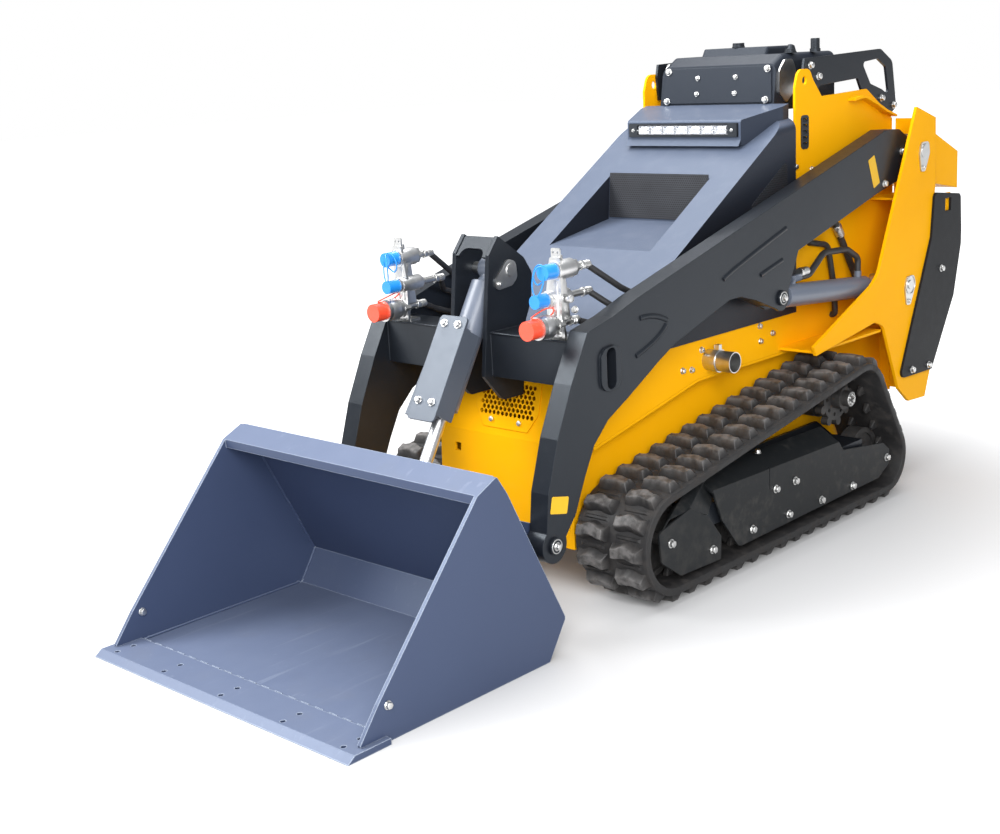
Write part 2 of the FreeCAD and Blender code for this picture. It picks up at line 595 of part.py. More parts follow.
pads = []
for tag, along in (("upper", "guard_start + 50"), ("lower", "guard_end - 20")):
    pads.append(panel("guard_pad_" + tag, [("-28", "0"), ("28", "0"), ("28", "30"), ("-28", "30")],
                      "0", *on_tilt(along, "tilt_rod_radius + 8"), "guard_off - tilt_rod_radius - 8", TILT_LEAN))
node(joined("tilt_barrel_on_pads", tilt_barrel, *pads), "tilt_barrel")
node(tilt_rod, "tilt_rod")
guard_run = "guard_end - guard_start"
guard_face = panel("tilt_guard_face", [("-46", "0"), ("50", "0"), ("50", guard_run), ("-46", guard_run)],
                   "0", *on_tilt("guard_end", "guard_off"), "guard_sheet_thick", TILT_LEAN, {"12": [0, 1, 2, 3]})
guard_cheek = panel("tilt_guard_cheek", [("44", "20"), ("50", "20"), ("50", guard_run + " - 30"), ("44", guard_run + " - 30")],
                    "0", *on_tilt("guard_end", "guard_off - 56"), "57", TILT_LEAN)
guard_flap = panel("tilt_guard_flap", [("-60", "10"), ("-44", "10"), ("-44", guard_run + " - 110"), ("-50", guard_run + " - 110")],
                   "0", *on_tilt("guard_end", "guard_off - 50"), "51", TILT_LEAN)
node(joined("tilt_guard_sheet", guard_face, guard_cheek, guard_flap), "tilt_guard")

# ---------------------------------------------------------------- undercarriage
WHEELS = [
    ("front_idler_station", "front_idler_height", "front_idler_height - lug_rise"),
    ("rear_idler_station", "rear_idler_height", "rear_idler_height - lug_rise"),
    ("sprocket_station", "sprocket_height", "sprocket_wrap"),
]


def loop_runs(inset):
    """Tangent points of the belt's loop round its wheels: (centre, radius, leave, next arrive)."""
    circles = [(sheet_value(a), sheet_value(b), sheet_value(c) - sheet_value(inset)) for a, b, c in WHEELS]
    runs = []
    for i, (ya, za, ra) in enumerate(circles):
        yb, zb, rb = circles[(i + 1) % len(circles)]
        span = math.hypot(yb - ya, zb - za)
        heading = math.atan2(zb - za, yb - ya)
        lean = math.asin((ra - rb) / span)
        normal = heading - math.pi / 2 + lean
        runs.append(((ya, za, ra), (yb, zb, rb), normal))
    return runs


def on_circle(circle, angle, extra=0.0):
    """The point of a wheel's circle at an angle."""
    return (circle[0] + (circle[2] + extra) * math.cos(angle), circle[1] + (circle[2] + extra) * math.sin(angle))


def loop_solid(name, inset, x, width):
    """The belt's loop as a padded sketch of tangent lines and arcs, inset from its outer face."""
    sketch = doc.addObject("Sketcher::SketchObject", name + "_loop")
    runs = loop_runs(inset)
    for first, second, normal in runs:
        a = on_circle(first, normal)
        b = on_circle(second, normal)
        sketch.addGeometry(Part.LineSegment(FreeCAD.Vector(*a, 0), FreeCAD.Vector(*b, 0)), False)
    for i, (first, second, normal) in enumerate(runs):
        arrive = runs[i - 1][2]
        leave = normal if normal > arrive else normal + 2 * math.pi
        circle = Part.Circle(FreeCAD.Vector(first[0], first[1], 0), FreeCAD.Vector(0, 0, 1), first[2])
        sketch.addGeometry(Part.ArcOfCircle(circle, arrive, leave), False)
    count = len(runs)
    for i, (across, up, radius) in enumerate(WHEELS):
        arc = count + i
        sketch.addConstraint(Sketcher.Constraint("Tangent", (i - 1) % count, 2, arc, 1))
        sketch.addConstraint(Sketcher.Constraint("Tangent", arc, 2, i, 1))
        for kind, expression in (("DistanceX", across), ("DistanceY", up)):
            index = sketch.addConstraint(Sketcher.Constraint(kind, -1, 1, arc, 3, sheet_value(expression)))
            sketch.setExpression(f"Constraints[{index}]", full(expression))
        index = sketch.addConstraint(Sketcher.Constraint("Radius", arc, sheet_value(radius) - sheet_value(inset)))
        sketch.setExpression(f"Constraints[{index}]", full(f"{radius} - {inset}"))
    sketch.Placement = FreeCAD.Placement(FreeCAD.Vector(), SIDEWAYS)
    place(sketch, x, "0")
    solid = doc.addObject("Part::Extrusion", name)
    solid.Base = sketch
    solid.DirMode = "Normal"
    solid.Solid = True
    bind(solid, LengthFwd=width)
    return solid


def loop_point(travel, lift):
    """The point at a distance along the belt's outer face, raised by lift."""
    runs = loop_runs("0")
    for i, (first, second, normal) in enumerate(runs):
        arrive = runs[i - 1][2]
        turn = (normal - arrive) % (2 * math.pi)
        if travel < turn * first[2]:
            return on_circle(first, arrive + travel / first[2], lift)
        travel -= turn * first[2]
        a = on_circle(first, normal, lift)
        b = on_circle(second, normal, lift)
        straight = math.hypot(on_circle(second, normal)[0] - on_circle(first, normal)[0],
                              on_circle(second, normal)[1] - on_circle(first, normal)[1])
        if travel < straight:
            share = travel / straight
            return (a[0] + (b[0] - a[0]) * share, a[1] + (b[1] - a[1]) * share)
        travel -= straight
    return loop_point(travel, lift)


def loop_length():
    """The way round the belt's outer face."""
    total = 0.0
    runs = loop_runs("0")
    for i, (first, second, normal) in enumerate(runs):
        total += ((normal - runs[i - 1][2]) % (2 * math.pi)) * first[2]
        a = on_circle(first, normal)
        b = on_circle(second, normal)
        total += math.hypot(b[0] - a[0], b[1] - a[1])
    return total


def lug_row(name, x, phase):
    """One row of rubber lugs as a toothed ring round the loop."""
    count = int(dim("lug_count"))
    pitch = loop_length() / count
    corners = []
    for i in range(count):
        start = (i + phase) * pitch
        for share, lift in ((0.0, -1.0), (0.10, dim("lug_rise")), (0.36, dim("lug_rise")), (0.50, -1.0)):
            corners.append(loop_point((start + share * pitch) % loop_length(), lift))
    middle = dim("machine_length") / 2
    ring = Part.makePolygon([FreeCAD.Vector(0, a - middle, b) for a, b in corners + corners[:1]])
    solid = Part.Face(ring).extrude(FreeCAD.Vector(dim("lug_row"), 0, 0))
    thing = doc.addObject("Part::Feature", name)
    thing.Shape = solid
    thing.Placement = FreeCAD.Placement(FreeCAD.Vector(0, 0, 0), FreeCAD.Rotation())
    thing.setExpression("Placement.Base.x", full(x))
    return thing


carcass = loop_solid("belt_carcass", "0", "belt_inner", "belt_width")
rows = [lug_row("lug_row_outer", "belt_inner + belt_width - lug_inset - lug_row", 0.0),
        lug_row("lug_row_inner", "belt_inner + lug_inset", 0.5)]
void = loop_solid("belt_void", "belt_thick", "belt_inner - 5", "belt_width + 10")
pair(cut("belt_ring", joined("belt_solid", carcass, *rows), void), "track_belt")

SPROCKET_TIP = "sprocket_wrap - belt_thick - seat_gap"
FRONT_IDLER = "front_idler_height - lug_rise - belt_thick - seat_gap"
REAR_IDLER = "rear_idler_height - lug_rise - belt_thick - seat_gap"
ROLLER = "39"
ROLLER_HEIGHT = "lug_rise + belt_thick + seat_gap + 39"
BELT_MIDDLE = "(belt_inner + belt_width / 2)"


def drum(name, radius, at, z):
    """A track wheel that runs between the belt's guide horns."""
    return rod(name, radius, "2 * wheel_half", f"{BELT_MIDDLE} - wheel_half", at, z)


def axle(name, radius, at, z):
    """An axle from the inner rail to the outer cover."""
    return rod(name, radius, "cover_outer - cover_plate - rail_inner - rail_plate",
               "rail_inner + rail_plate", at, z)


def idler(name, radius, at, z):
    """An idler with dished faces, on its axle."""
    dishes = [rod(f"{name}_dish_{tag}", f"{radius} - 16", "12", x, at, z)
              for tag, x in (("in", f"{BELT_MIDDLE} - wheel_half - 4"), ("out", f"{BELT_MIDDLE} + wheel_half - 8"))]
    wheel = cut(name + "_wheel", drum(name + "_drum", radius, at, z), *dishes)
    return joined(name, wheel, rod(name + "_hub", "34", "2 * wheel_half + 8", f"{BELT_MIDDLE} - wheel_half - 4", at, z),
                  axle(name + "_axle", "14", at, z))


twins(idler("front_idler", FRONT_IDLER, "front_idler_station", "front_idler_height"), "front_idlers")
twins(idler("rear_idler", REAR_IDLER, "rear_idler_station", "rear_idler_height"), "rear_idlers")
rollers = []
for i in range(int(dim("roller_count"))):
    spot = f"roller_first + {i} * roller_pitch"
    rollers.append(joined(f"roller_{i}", drum(f"roller_wheel_{i}", ROLLER, spot, ROLLER_HEIGHT),
                          axle(f"roller_axle_{i}", "16", spot, ROLLER_HEIGHT)))
twins(grouped("roller_set", *rollers), "track_rollers")

hub = rod("hub_motor_body", "66", "60", "rail_inner", "sprocket_station", "sprocket_height")
flange = rod("hub_motor_flange", "48", "rail_inner - tub_half", "tub_half",
             "sprocket_station", "sprocket_height")
twins(joined("hub_motor_solid", hub, flange), "hub_motors")

SPROCKET_HALF = "11"
teeth = []
lightening = []
disc = rod("sprocket_disc", f"{SPROCKET_TIP} - 20", f"2 * {SPROCKET_HALF}", f"{BELT_MIDDLE} - {SPROCKET_HALF}",
           "sprocket_station", "sprocket_height")
boss = rod("sprocket_boss", "34", f"{BELT_MIDDLE} + 40 - rail_inner - 60", "rail_inner + 60",
           "sprocket_station", "sprocket_height")
for i in range(9):
    angle = f"{i} * 40"
    teeth.append(rod(f"sprocket_tooth_{i}", "13", f"2 * {SPROCKET_HALF}", f"{BELT_MIDDLE} - {SPROCKET_HALF}",
                     f"sprocket_station + ({SPROCKET_TIP} - 13) * cos({angle})",
                     f"sprocket_height + ({SPROCKET_TIP} - 13) * sin({angle})"))
    lightening.append(rod(f"sprocket_hole_{i}", "6.5", "80", f"{BELT_MIDDLE} - 40",
                          f"sprocket_station + ({SPROCKET_TIP} - 38) * cos({angle} + 20)",
                          f"sprocket_height + ({SPROCKET_TIP} - 38) * sin({angle} + 20)"))
hub_cap = rod("sprocket_hub_cap", "24", "24", f"{BELT_MIDDLE} + 38", "sprocket_station", "sprocket_height")
twins(cut("sprocket_cut", joined("sprocket_solid", disc, boss, hub_cap, *teeth), *lightening), "drive_sprockets")

rail = plate("rail_inner_plate", [
    ("1080", "112"), ("1180", "62"), ("2160", "62"), ("2232", "112"), ("2232", "160"), ("2120", "236"),
    ("1200", "236"), ("1080", "208"),
], "rail_inner", "rail_plate")
beam = block("rail_beam", ("cover_outer - cover_plate - rail_inner - rail_plate - 12", "2090 - 1262", "62"),
             "rail_inner + rail_plate", "1262", "150")
stub_front = block("rail_stub_front", ("rail_inner - tub_half", "120", "110"), "tub_half", "1330", "112")
stub_rear = block("rail_stub_rear", ("rail_inner - tub_half", "120", "110"), "tub_half", "1850", "112")
twins(joined("track_frame_solid", rail, beam, stub_front, stub_rear), "track_frames")

cover = plate("cover_side", [
    ("1294", "254"), ("1336", "160"), ("1412", "66"), ("2159", "75"), ("2222", "106"), ("2224", "152"),
    ("2186", "180"), ("1951", "212"), ("1927", "242"),
], "cover_outer - cover_plate", "cover_plate", {"14": [5, 6], "30": [2]})
COVER_DROP = math.degrees(math.atan2(254 - 242, 1927 - 1294))
cover_top = panel("cover_top", [
    ("cover_outer - 1", "-8"), ("cover_outer - 1", "0"), ("cover_outer - 62", "38"), ("cover_outer - 66", "32"),
    ("cover_outer - 7", "-8"),
], "0", "1927", "242", "1927 - 1294", 90 - COVER_DROP)
cover_seam = block("cover_seam", ("9", "3", "76"), "cover_outer - cover_plate - 1", "1560", "190")
twins(cut("cover_cut", joined("cover_solid", cover, cover_top), cover_seam), "track_covers")
nose_cover = plate("nose_cover_plate", [
    ("1061", "200"), ("1070", "118"), ("1150", "62"), ("1327", "56"), ("1330", "120"), ("1273", "188"),
    ("1196", "232"),
], "cover_outer - cover_plate", "cover_plate", {"16": [0, 1, 2]})
twins(nose_cover, "idler_covers")

# ---------------------------------------------------------------- chassis
wall_low = plate("tub_wall", [
    ("nose_station - 8", "belly_height"), ("2420", "belly_height"), ("tub_rear", "250"), ("tub_rear", "sill_height"),
    ("1500", "sill_height"), ("1040", "410"), ("nose_station + 4", "nose_bend"),
], "tub_half - shell_plate", "shell_plate")
wall_high = plate("deck_wall", [
    ("1043", "nose_bend"), ("1500", "sill_height"), ("tub_rear", "sill_height"), ("tub_rear", "1128"), ("2485", "1176"), ("2400", "1226"),
    ("2140", "1218"), ("2090", "1270"), ("2074", "1300"), ("2014", "1300"), ("hood_rear + 6", "1250"),
    ("hood_rear + 6", "deck_height"), ("1060", "deck_height"),
], "wall_half - shell_plate", "shell_plate", {"29": [8, 9], "60": [7]})
eye_hole = rod("lifting_eye_bore", "12", "40", "wall_half - 30", "2045", "1268")
ledge = plate("sill_ledge", [
    ("1043", "nose_bend"), ("1500", "sill_height"), ("tub_rear", "sill_height"), ("tub_rear", "sill_height - 8"),
    ("1500", "sill_height - 8"), ("1045", "nose_bend - 8"),
], "tub_half - shell_plate", "wall_half - tub_half + shell_plate")
outer = plate("tower_cheek", [
    ("1883", "524"), ("1897", "496"), ("2231", "539"), ("2284", "519"), ("2383", "303"), ("2449", "250"),
    ("2556", "244"), ("2592", "335"), ("2575", "720"), ("2604", "934"), ("2596", "1127"), ("2474", "1166"),
    ("2250", "684"), ("2206", "653"),
], "tower_outer - tower_plate", "tower_plate", {"40": [2, 3], "60": [12]})
bore_pivot = rod("tower_pivot_bore", "pivot_pin + fit_gap", "200", "wall_half - 30", "pivot_station", "pivot_height")
bore_base = rod("tower_base_bore", "lift_pin + fit_gap", "200", "wall_half - 30", "lift_base_station",
                "lift_base_height")
TOWER_GAP = "tower_outer - tower_plate - wall_half"
shelf = block("tower_shelf", (TOWER_GAP, "380", "8"), "wall_half", "1905", "500")
back_web = plate("tower_back", [
    ("2562", "260"), ("2570", "260"), ("2590", "1126"), ("2582", "1126"),
], "wall_half", TOWER_GAP)
lip = plate("wall_lip_strip", [
    ("2290", "1196"), ("2350", "1202"), ("2424", "1176"), ("2480", "1152"), ("2545", "1134"),
    ("2545", "1140"), ("2482", "1160"), ("2426", "1184"), ("2352", "1210"), ("2290", "1204"),
], "wall_half", "26", {"40": [1, 8]})
vent_frames = []
vent_holes = []
for tag, middle in (("top", "vent_top"), ("low", "vent_low")):
    vent_holes.append(plate(f"vent_hole_{tag}", [
        ("vent_station - vent_width / 2", f"{middle} - vent_height / 2"),
        ("vent_station + vent_width / 2", f"{middle} - vent_height / 2"),
        ("vent_station + vent_width / 2", f"{middle} + vent_height / 2"),
        ("vent_station - vent_width / 2", f"{middle} + vent_height / 2"),
    ], "wall_half - 2 * shell_plate", "4 * shell_plate", {"9": [0, 1, 2, 3]}))
    frame = plate(f"vent_frame_{tag}", [
        ("vent_station - vent_width / 2 - 5", f"{middle} - vent_height / 2 - 5"),
        ("vent_station + vent_width / 2 + 5", f"{middle} - vent_height / 2 - 5"),
        ("vent_station + vent_width / 2 + 5", f"{middle} + vent_height / 2 + 5"),
        ("vent_station - vent_width / 2 - 5", f"{middle} + vent_height / 2 + 5"),
    ], "wall_half", "3", {"12": [0, 1, 2, 3]})
    gaps = [block(f"vent_gap_{tag}{i}", ("8", "vent_width - 6", "vent_height / 5 - 6"), "wall_half - 2",
                  "vent_station - vent_width / 2 + 3", f"{middle} - vent_height / 2 + 3 + {i} * vent_height / 5")
            for i in range(5)]
    vent_frames.append(cut(f"vent_cut_{tag}", frame, *gaps))
twins(cut("side_wall_cut", joined("side_wall_solid", wall_high, lip), eye_hole, bore_pivot, bore_base, *vent_holes),
      "side_walls")
twins(grouped("vent_set", *vent_frames), "wall_vents")
deck = block("tower_deck", (TOWER_GAP, "150", "8"), "wall_half", "2425", "886")
twins(cut("tower_cut", joined("tower_solid", outer, shelf, back_web, deck), bore_pivot, bore_base), "tower_plates")
retainers = []
for tag, radius, at, z in (("pivot", "pivot_pin", "pivot_station", "pivot_height"),
                           ("base", "lift_pin", "lift_base_station", "lift_base_height")):
    drop = plate(f"{tag}_retainer_plate", [
        (f"{at} - 32", f"{z} - 8"), (f"{at} - 22", f"{z} - 62"), (f"{at} + 4", f"{z} - 62"),
        (f"{at} + 32", f"{z} - 8"), (f"{at} + 26", f"{z} + 28"), (f"{at} - 22", f"{z} + 28"),
    ], "tower_outer", "retainer_thick", {"10": [1, 2], "16": [0, 3, 4, 5]})
    retainers.append(cut(f"{tag}_retainer", drop, rod(f"{tag}_retainer_bore", f"{radius} + fit_gap", "40",
                                                      "tower_outer - 10", at, z)))
twins(grouped("retainer_set", *retainers), "pin_retainers")
tub_half_shell = joined("tub_side", wall_low, ledge)
tub_copy = mirrored("tub_side_copy", tub_half_shell)
SPAN = "2 * (tub_half - shell_plate)"
belly = block("belly_plate", (SPAN, "2420 - nose_station", "8"), "-(tub_half - shell_plate)", "nose_station",
              "belly_height")
nose_low = plate("nose_plate_low", [
    ("nose_station - 8", "belly_height"), ("nose_station", "belly_height"),
    ("nose_station + 12", "nose_bend"), ("nose_station + 4", "nose_bend"),
], "-tub_half", "2 * tub_half")
nose_high = plate("nose_plate_high", [
    ("nose_station + 4", "nose_bend"), ("nose_station + 12", "nose_bend"),
    ("nose_station + 60", "nose_top"), ("nose_station + 52", "nose_top"),
], "-(wall_half - shell_plate)", "2 * (wall_half - shell_plate)")
nose = joined("nose_plate", nose_low, nose_high)
bulkhead = block("rear_bulkhead", ("2 * wall_half", "8", "700"), "-wall_half", "tub_rear", "250")
fold_lug = plate("fold_lug_plate", [
    ("tub_rear + 8", "fold_height - 14"), ("fold_station + 14", "fold_height - 14"),
    ("fold_station + 14", "fold_height + 14"), ("tub_rear + 8", "fold_height + 26"),
], "fold_lug_inner", "fold_lug_thick", {"13": [1, 2]})
fold_lug_bore = rod("fold_lug_bore", "fold_pin + fit_gap", "40", "fold_lug_inner - 10", "fold_station", "fold_height")
lug_out = cut("fold_lug", fold_lug, fold_lug_bore)
lug_copy = mirrored("fold_lug_copy", lug_out)
main = joined("main_frame_solid", tub_half_shell, tub_copy, belly, nose, bulkhead, lug_out, lug_copy)
window = block("grille_window", ("2 * grille_half - 30", "120", "106"), "-(grille_half - 15)", "nose_station - 20", "448")
tie_hole = block("nose_square_hole", ("22", "60", "22"), "-186", "nose_station - 20", "338")
tie_copy = mirrored("nose_square_copy", tie_hole)
node(cut("main_frame_cut", main, window, tie_hole, tie_copy), "main_frame")

NOSE_LEAN = math.degrees(math.atan2(sheet_value("nose_top - nose_bend"), 48))
grille_rise = "(nose_top - nose_bend)"
grille = panel("grille_sheet", [
    ("-grille_foot", "20"), ("grille_foot", "20"), ("grille_half", "72"), ("grille_half", "200"),
    ("-grille_half", "200"), ("-grille_half", "72"),
], "0", "nose_station + 4", "nose_bend", "3", NOSE_LEAN)
grille_holes = []
for line in range(7):
    for place_number in range(13 - line % 2):
        across = f"(({place_number} - 6 + {line % 2} / 2) * grille_pitch)"
        along = f"(60 + {line} * grille_pitch * 0.87)"
        hole = doc.addObject("Part::Prism", f"grille_hole_{line}_{place_number}")
        hole.Polygon = 6
        bind(hole, Circumradius="grille_hole", Height="16")
        turned(hole, (1, 0, 0), NOSE_LEAN)
        place(hole, across, f"nose_station + 4 + {along} * cos({NOSE_LEAN}) + 8",
              f"nose_bend + {along} * sin({NOSE_LEAN}) - 2")
        grille_holes.append(hole)
node(cut("grille_cut", grille, *grille_holes), "nose_grille")
node(block("engine_mass", ("400", "420", "360"), "-200", "1480", "belly_height + 8"), "engine_block")
node(plate("rear_box_solid", [
    ("tub_rear + 32", "925"), ("machine_length", "893"), ("machine_length - 2", "1010"), ("tub_rear + 36", "1084"),
], "-(tower_outer - tower_plate)", "2 * (tower_outer - tower_plate)"), "rear_box")
guard = plate("guard_sheet", [
    ("2380", "336"), ("2586", "330"), ("2727", "552"), ("machine_length", "714"), ("machine_length", "760"),
    ("machine_length - 9", "876"), ("2586", "896"), ("2571", "758"),
], "tower_outer", "guard_plate", {"18": [0, 5, 6]})
guard_hole = block("guard_hole", ("40", "40", "40"), "tower_outer - 10", "2655", "830")
twins(cut("guard_cut", guard, guard_hole), "guard_plates")
fold_shaft = rod("fold_shaft", "fold_pin", "52 + fold_lug_thick + 12", "fold_lug_inner - 57", "fold_station", "fold_height")
twins(fold_shaft, "platform_pins")
tread = plate("platform_tread", [
    ("fold_station + 10", "fold_height + 2"), ("2632", "fold_height + 2"), ("2672", "690"), ("2634", "693"),
], "-platform_half", "2 * platform_half")
knuckle_side = rod("platform_knuckle_side", "fold_pin + 7", "52", "fold_lug_inner - 57", "fold_station", "fold_height")
knuckle_copy = mirrored("platform_knuckle_copy", knuckle_side)
fold_bore = rod("platform_fold_bore", "fold_pin + fit_gap", "2 * platform_half + 4", "-platform_half - 2",
                "fold_station", "fold_height")
notch = rod("platform_notch", "fold_pin + 14", "fold_lug_thick + 10", "fold_lug_inner - 5", "fold_station",
            "fold_height")
notch_copy = mirrored("platform_notch_copy", notch)
node(cut("platform_cut", joined("platform_solid", tread, knuckle_side, knuckle_copy), fold_bore, notch,
         notch_copy), "operator_platform")

# ---------------------------------------------------------------- hood and console
hood_outer = plate("hood_wedge", [
    ("hood_front", "deck_height"), ("hood_front", "hood_foot"), ("1940", "1160"), ("hood_rear", "1166"),
    ("hood_rear", "deck_height"),
], "-hood_half", "2 * hood_half", {"24": [1]}, {"hood_shoulder": [1, 2]})
hood_inner = plate("hood_cavity", [
    ("hood_front + hood_skin", "deck_height - 5"), ("hood_front + hood_skin", "hood_foot - 4"),
    ("1941", "1153"), ("hood_rear + 5", "1159"), ("hood_rear + 5", "deck_height - 5"),
], "-(hood_half - hood_skin)", "2 * (hood_half - hood_skin)", None, {"hood_shoulder - hood_skin": [1, 2]})
lamp_block = plate("lamp_block", [
    ("lamp_station - 12", "lamp_low - 18"), ("lamp_station", "lamp_low"), ("lamp_station", "lamp_high"), ("hood_rear", "hood_crown"),
    ("hood_rear", "1120"),
], "-hood_half", "2 * hood_half", {"8": [2]})
lamp_plan = panel("lamp_plan", [
    ("-(lamp_half + 6)", "0"), ("lamp_half + 6", "0"), ("lamp_half + 8", "36"), ("hood_half - 24", "170"),
    ("hood_half - 24", "220"), ("-(hood_half - 24)", "220"), ("-(hood_half - 24)", "170"), ("-(lamp_half + 8)", "36"),
], "0", "hood_rear - 200", "1000", "300", 0)
lamp_box = doc.addObject("Part::Common", "lamp_housing")
lamp_box.Base = lamp_block
lamp_box.Tool = lamp_plan
jacket = plate("recess_jacket", [
    ("recess_foot - 6", "700"), ("recess_foot - 6", "860"), ("recess_top + 6", "1060"), ("recess_top + 6", "800"),
], "-(recess_half + 6)", "2 * (recess_half + 6)")
recess = plate("recess_void", [
    ("recess_foot", "846"), ("recess_top - 12", "893"), ("recess_top", "1034"), ("recess_top", "1100"),
    ("recess_foot", "950"),
], "-recess_half", "2 * recess_half")
lining = doc.addObject("Part::Common", "recess_lining")
lining.Base = hood_outer
lining.Tool = jacket
under = plate("recess_under", [
    ("recess_foot - 10", "600"), ("recess_foot - 10", "839"), ("recess_top - 6", "887"), ("recess_top + 1", "860"),
    ("recess_top + 20", "600"),
], "-(recess_half + 10)", "2 * (recess_half + 10)")
lining_cut = cut("recess_lining_cut", lining, under)
lamp_slot = block("lamp_slot", ("2 * lamp_half", "14", "40"), "-lamp_half", "lamp_station - 2", "lamp_low + 7")
hood = cut("hood_solid", joined("hood_joined", cut("hood_hollow", hood_outer, hood_inner), lamp_box, lining_cut),
           recess, lamp_slot)
node(hood, "hood_shell")
node(block("lamp_body", ("2 * 160", "11", "26"), "-160", "lamp_station + 1", "lamp_low + 14"), "light_bar")
flank = plate("flank_screen", [
    ("1761", "817"), ("1943", "817"), ("1943", "1050"), ("1761", "940"),
], "hood_half", "1.5", {"12": [0, 1, 2, 3]})
front_screen = plate("screen_sheet", [
    ("recess_top - 15", "893 + 141 / 24"), ("recess_top - 11.5", "893 + 141 / 24"),
    ("recess_top - 0.5", "1034 - 141 / 24"), ("recess_top - 4", "1034 - 141 / 24"),
], "-(recess_half - 4)", "2 * (recess_half - 4)")
node(grouped("screen_set", front_screen, flank, mirrored("flank_screen_copy", flank)), "hood_screen")

console = plate("console_solid", [
    ("console_front + 3", "hood_crown + 1"), ("console_front + 20", "console_top - 26"),
    ("console_front + 66", "console_top"), ("console_rear", "console_top"), ("console_rear", "hood_crown - 20"),
    ("console_front + 8", "hood_crown - 20"),
], "-console_half", "2 * console_half", None, {"24": [1, 2]})
CONSOLE_LEAN = math.degrees(math.atan2(sheet_value("console_top - 26 - hood_crown - 1"), 17))
face = panel("console_face", [
    ("-(console_half - 6)", "3"), ("console_half - 6", "3"), ("console_half - 16", "108"), ("-(console_half - 16)", "108"),
], "0", "console_front + 3", "hood_crown + 1", "4", CONSOLE_LEAN, {"6": [0, 1, 2, 3]})
crown = plate("console_crown", [
    ("2088", "console_top"), ("2102", "console_top + 22"), ("2250", "console_top + 22"), ("2262", "console_top"),
], "-118", "236", None, {"10": [0, 1, 2]})
node(joined("console_joined", console, face, crown), "console_box")

knob = rod("dial_knob", "17", "14", "0", "2118", "console_top + 22", "z")
shift_grip = rod("side_grip", "13", "39", "200", "2226", "console_top", "z")
shift_collar = rod("side_grip_collar", "16", "9", "200", "2226", "console_top", "z")
lean_grip = turned(rod("lean_grip", "10", "18", "188", "2106", "console_top + 5", "z"), (1, 0, 0), -28)
lean_boot = rod("lean_boot", "15", "8", "188", "2106", "console_top", "z")
grips = [joined("side_lever", shift_grip, shift_collar), joined("lean_lever", lean_grip, lean_boot)]
node(grouped("control_set", knob, *grips), "control_levers")
stay = plate("console_stay_plate", [
    ("2014", "1236"), ("2052", "1206"), ("2100", "1240"), ("2104", "1300"), ("2086", "1330"), ("2046", "1330"),
    ("2016", "1300"),
], "console_half", "6", {"20": [3, 4, 5, 6], "12": [0, 1, 2]})
twins(stay, "console_stays")

handle = plate("handle_plate_sheet", [
    ("2051", "1290"), ("2060", "1329"), ("2498", "1343"), ("2571", "1304"), ("2600", "1161"), ("2525", "1120"),
    ("2390", "1214"), ("2360", "1260"), ("2144", "1249"), ("2100", "1220"), ("2060", "1220"),
], "wall_half - shell_plate - 8", "8", {"28": [2, 3], "20": [4]})
handle_gap = plate("handle_window", [
    ("2385", "1306"), ("2480", "1314"), ("2530", "1288"), ("2552", "1200"), ("2507", "1220"), ("2437", "1240"),
], "wall_half - 40", "60", {"10": [0, 1, 2, 3, 4, 5]})
twins(cut("handle_cut", handle, handle_gap), "handle_plates")

# ---------------------------------------------------------------- exhaust and couplers
pipe = rod("exhaust_tube", "exhaust_radius", "90", "wall_half", "exhaust_station", "exhaust_height")
clamp = rod("exhaust_clamp", "exhaust_radius + 3", "16", "wall_half + 26", "exhaust_station", "exhaust_height")
clamp_lug = block("exhaust_clamp_lug", ("16", "14", "16"), "wall_half + 26", "exhaust_station - 7",
                  "exhaust_height + exhaust_radius")
pipe_bore = rod("exhaust_bore", "exhaust_radius - exhaust_wall", "120", "wall_half + 8", "exhaust_station",
                "exhaust_height")
exhaust = cut("exhaust_cut", joined("exhaust_solid", pipe, clamp, clamp_lug), pipe_bore)
node(exhaust, "exhaust_pipe")


CAP_LENGTH = 38
COUPLER_LENGTH = 115


def coupler(name, cap_radius, body_radius, x, at, z, tail):
    """One hydraulic quick coupler pointing forwards: its cap and its stepped body with a hose tail."""
    cap = rod(name + "_cap", cap_radius, CAP_LENGTH, x, at, z, "y")
    collar = rod(name + "_collar", f"{body_radius} + 1.5", "15", x, f"{at} + {CAP_LENGTH}", z, "y")
    barrel = rod(name + "_barrel", f"{body_radius} - 2", "42", x, f"{at} + {CAP_LENGTH} + 15", z, "y")
    nut = hexagon(name + "_nut", f"{body_radius} + 1", "20", x, f"{at} + {CAP_LENGTH} + 57", z, "y")
    stem = rod(name + "_stem", "9", tail, x, f"{at} + {COUPLER_LENGTH}", z, "y")
    return [collar, barrel, nut, stem], cap


HOSE_LINE = "299"
couplings = []
caps = []
hoses = []
for tag, cap_radius, body_radius, x, at, z, tail, dip, end_at, end_z in (
        ("top", "19", "21", "278", "872", "872", "22", "800", "1210", "768"),
        ("mid", "17", "18", "262", "856", "802", "60", "760", "1170", "735"),
        ("low", "24", "27", "272", "812", "740", "40", "712", "1135", "690")):
    pieces, cap = coupler("coupler_" + tag, cap_radius, body_radius, x, at, z, tail)
    couplings += pieces
    caps.append(cap)
    back = f"{at} + {COUPLER_LENGTH} + {tail}"
    hoses.append(hose(f"coupler_hose_{tag}", "8", [
        (x, back, z, "0"), (x, f"{back} + 26", z, "20"),
        (HOSE_LINE, f"{end_at} - 68", dip, "28"),
        (HOSE_LINE, end_at, end_z, "14"), ("arm_inner", end_at, end_z, "0"),
    ]))
BANK = "tube_station + 20"
TUBE_TOP = "tube_base + tube_rise"
bracket = panel("coupler_bracket", [
    ("250", "0"), ("302", "0"), ("302", "14"), ("294", "58"), ("296", "203"), ("262", "203"), ("246", "110"),
], "0", BANK, TUBE_TOP, "8", 90, {"8": [2, 3, 4, 5, 6]})
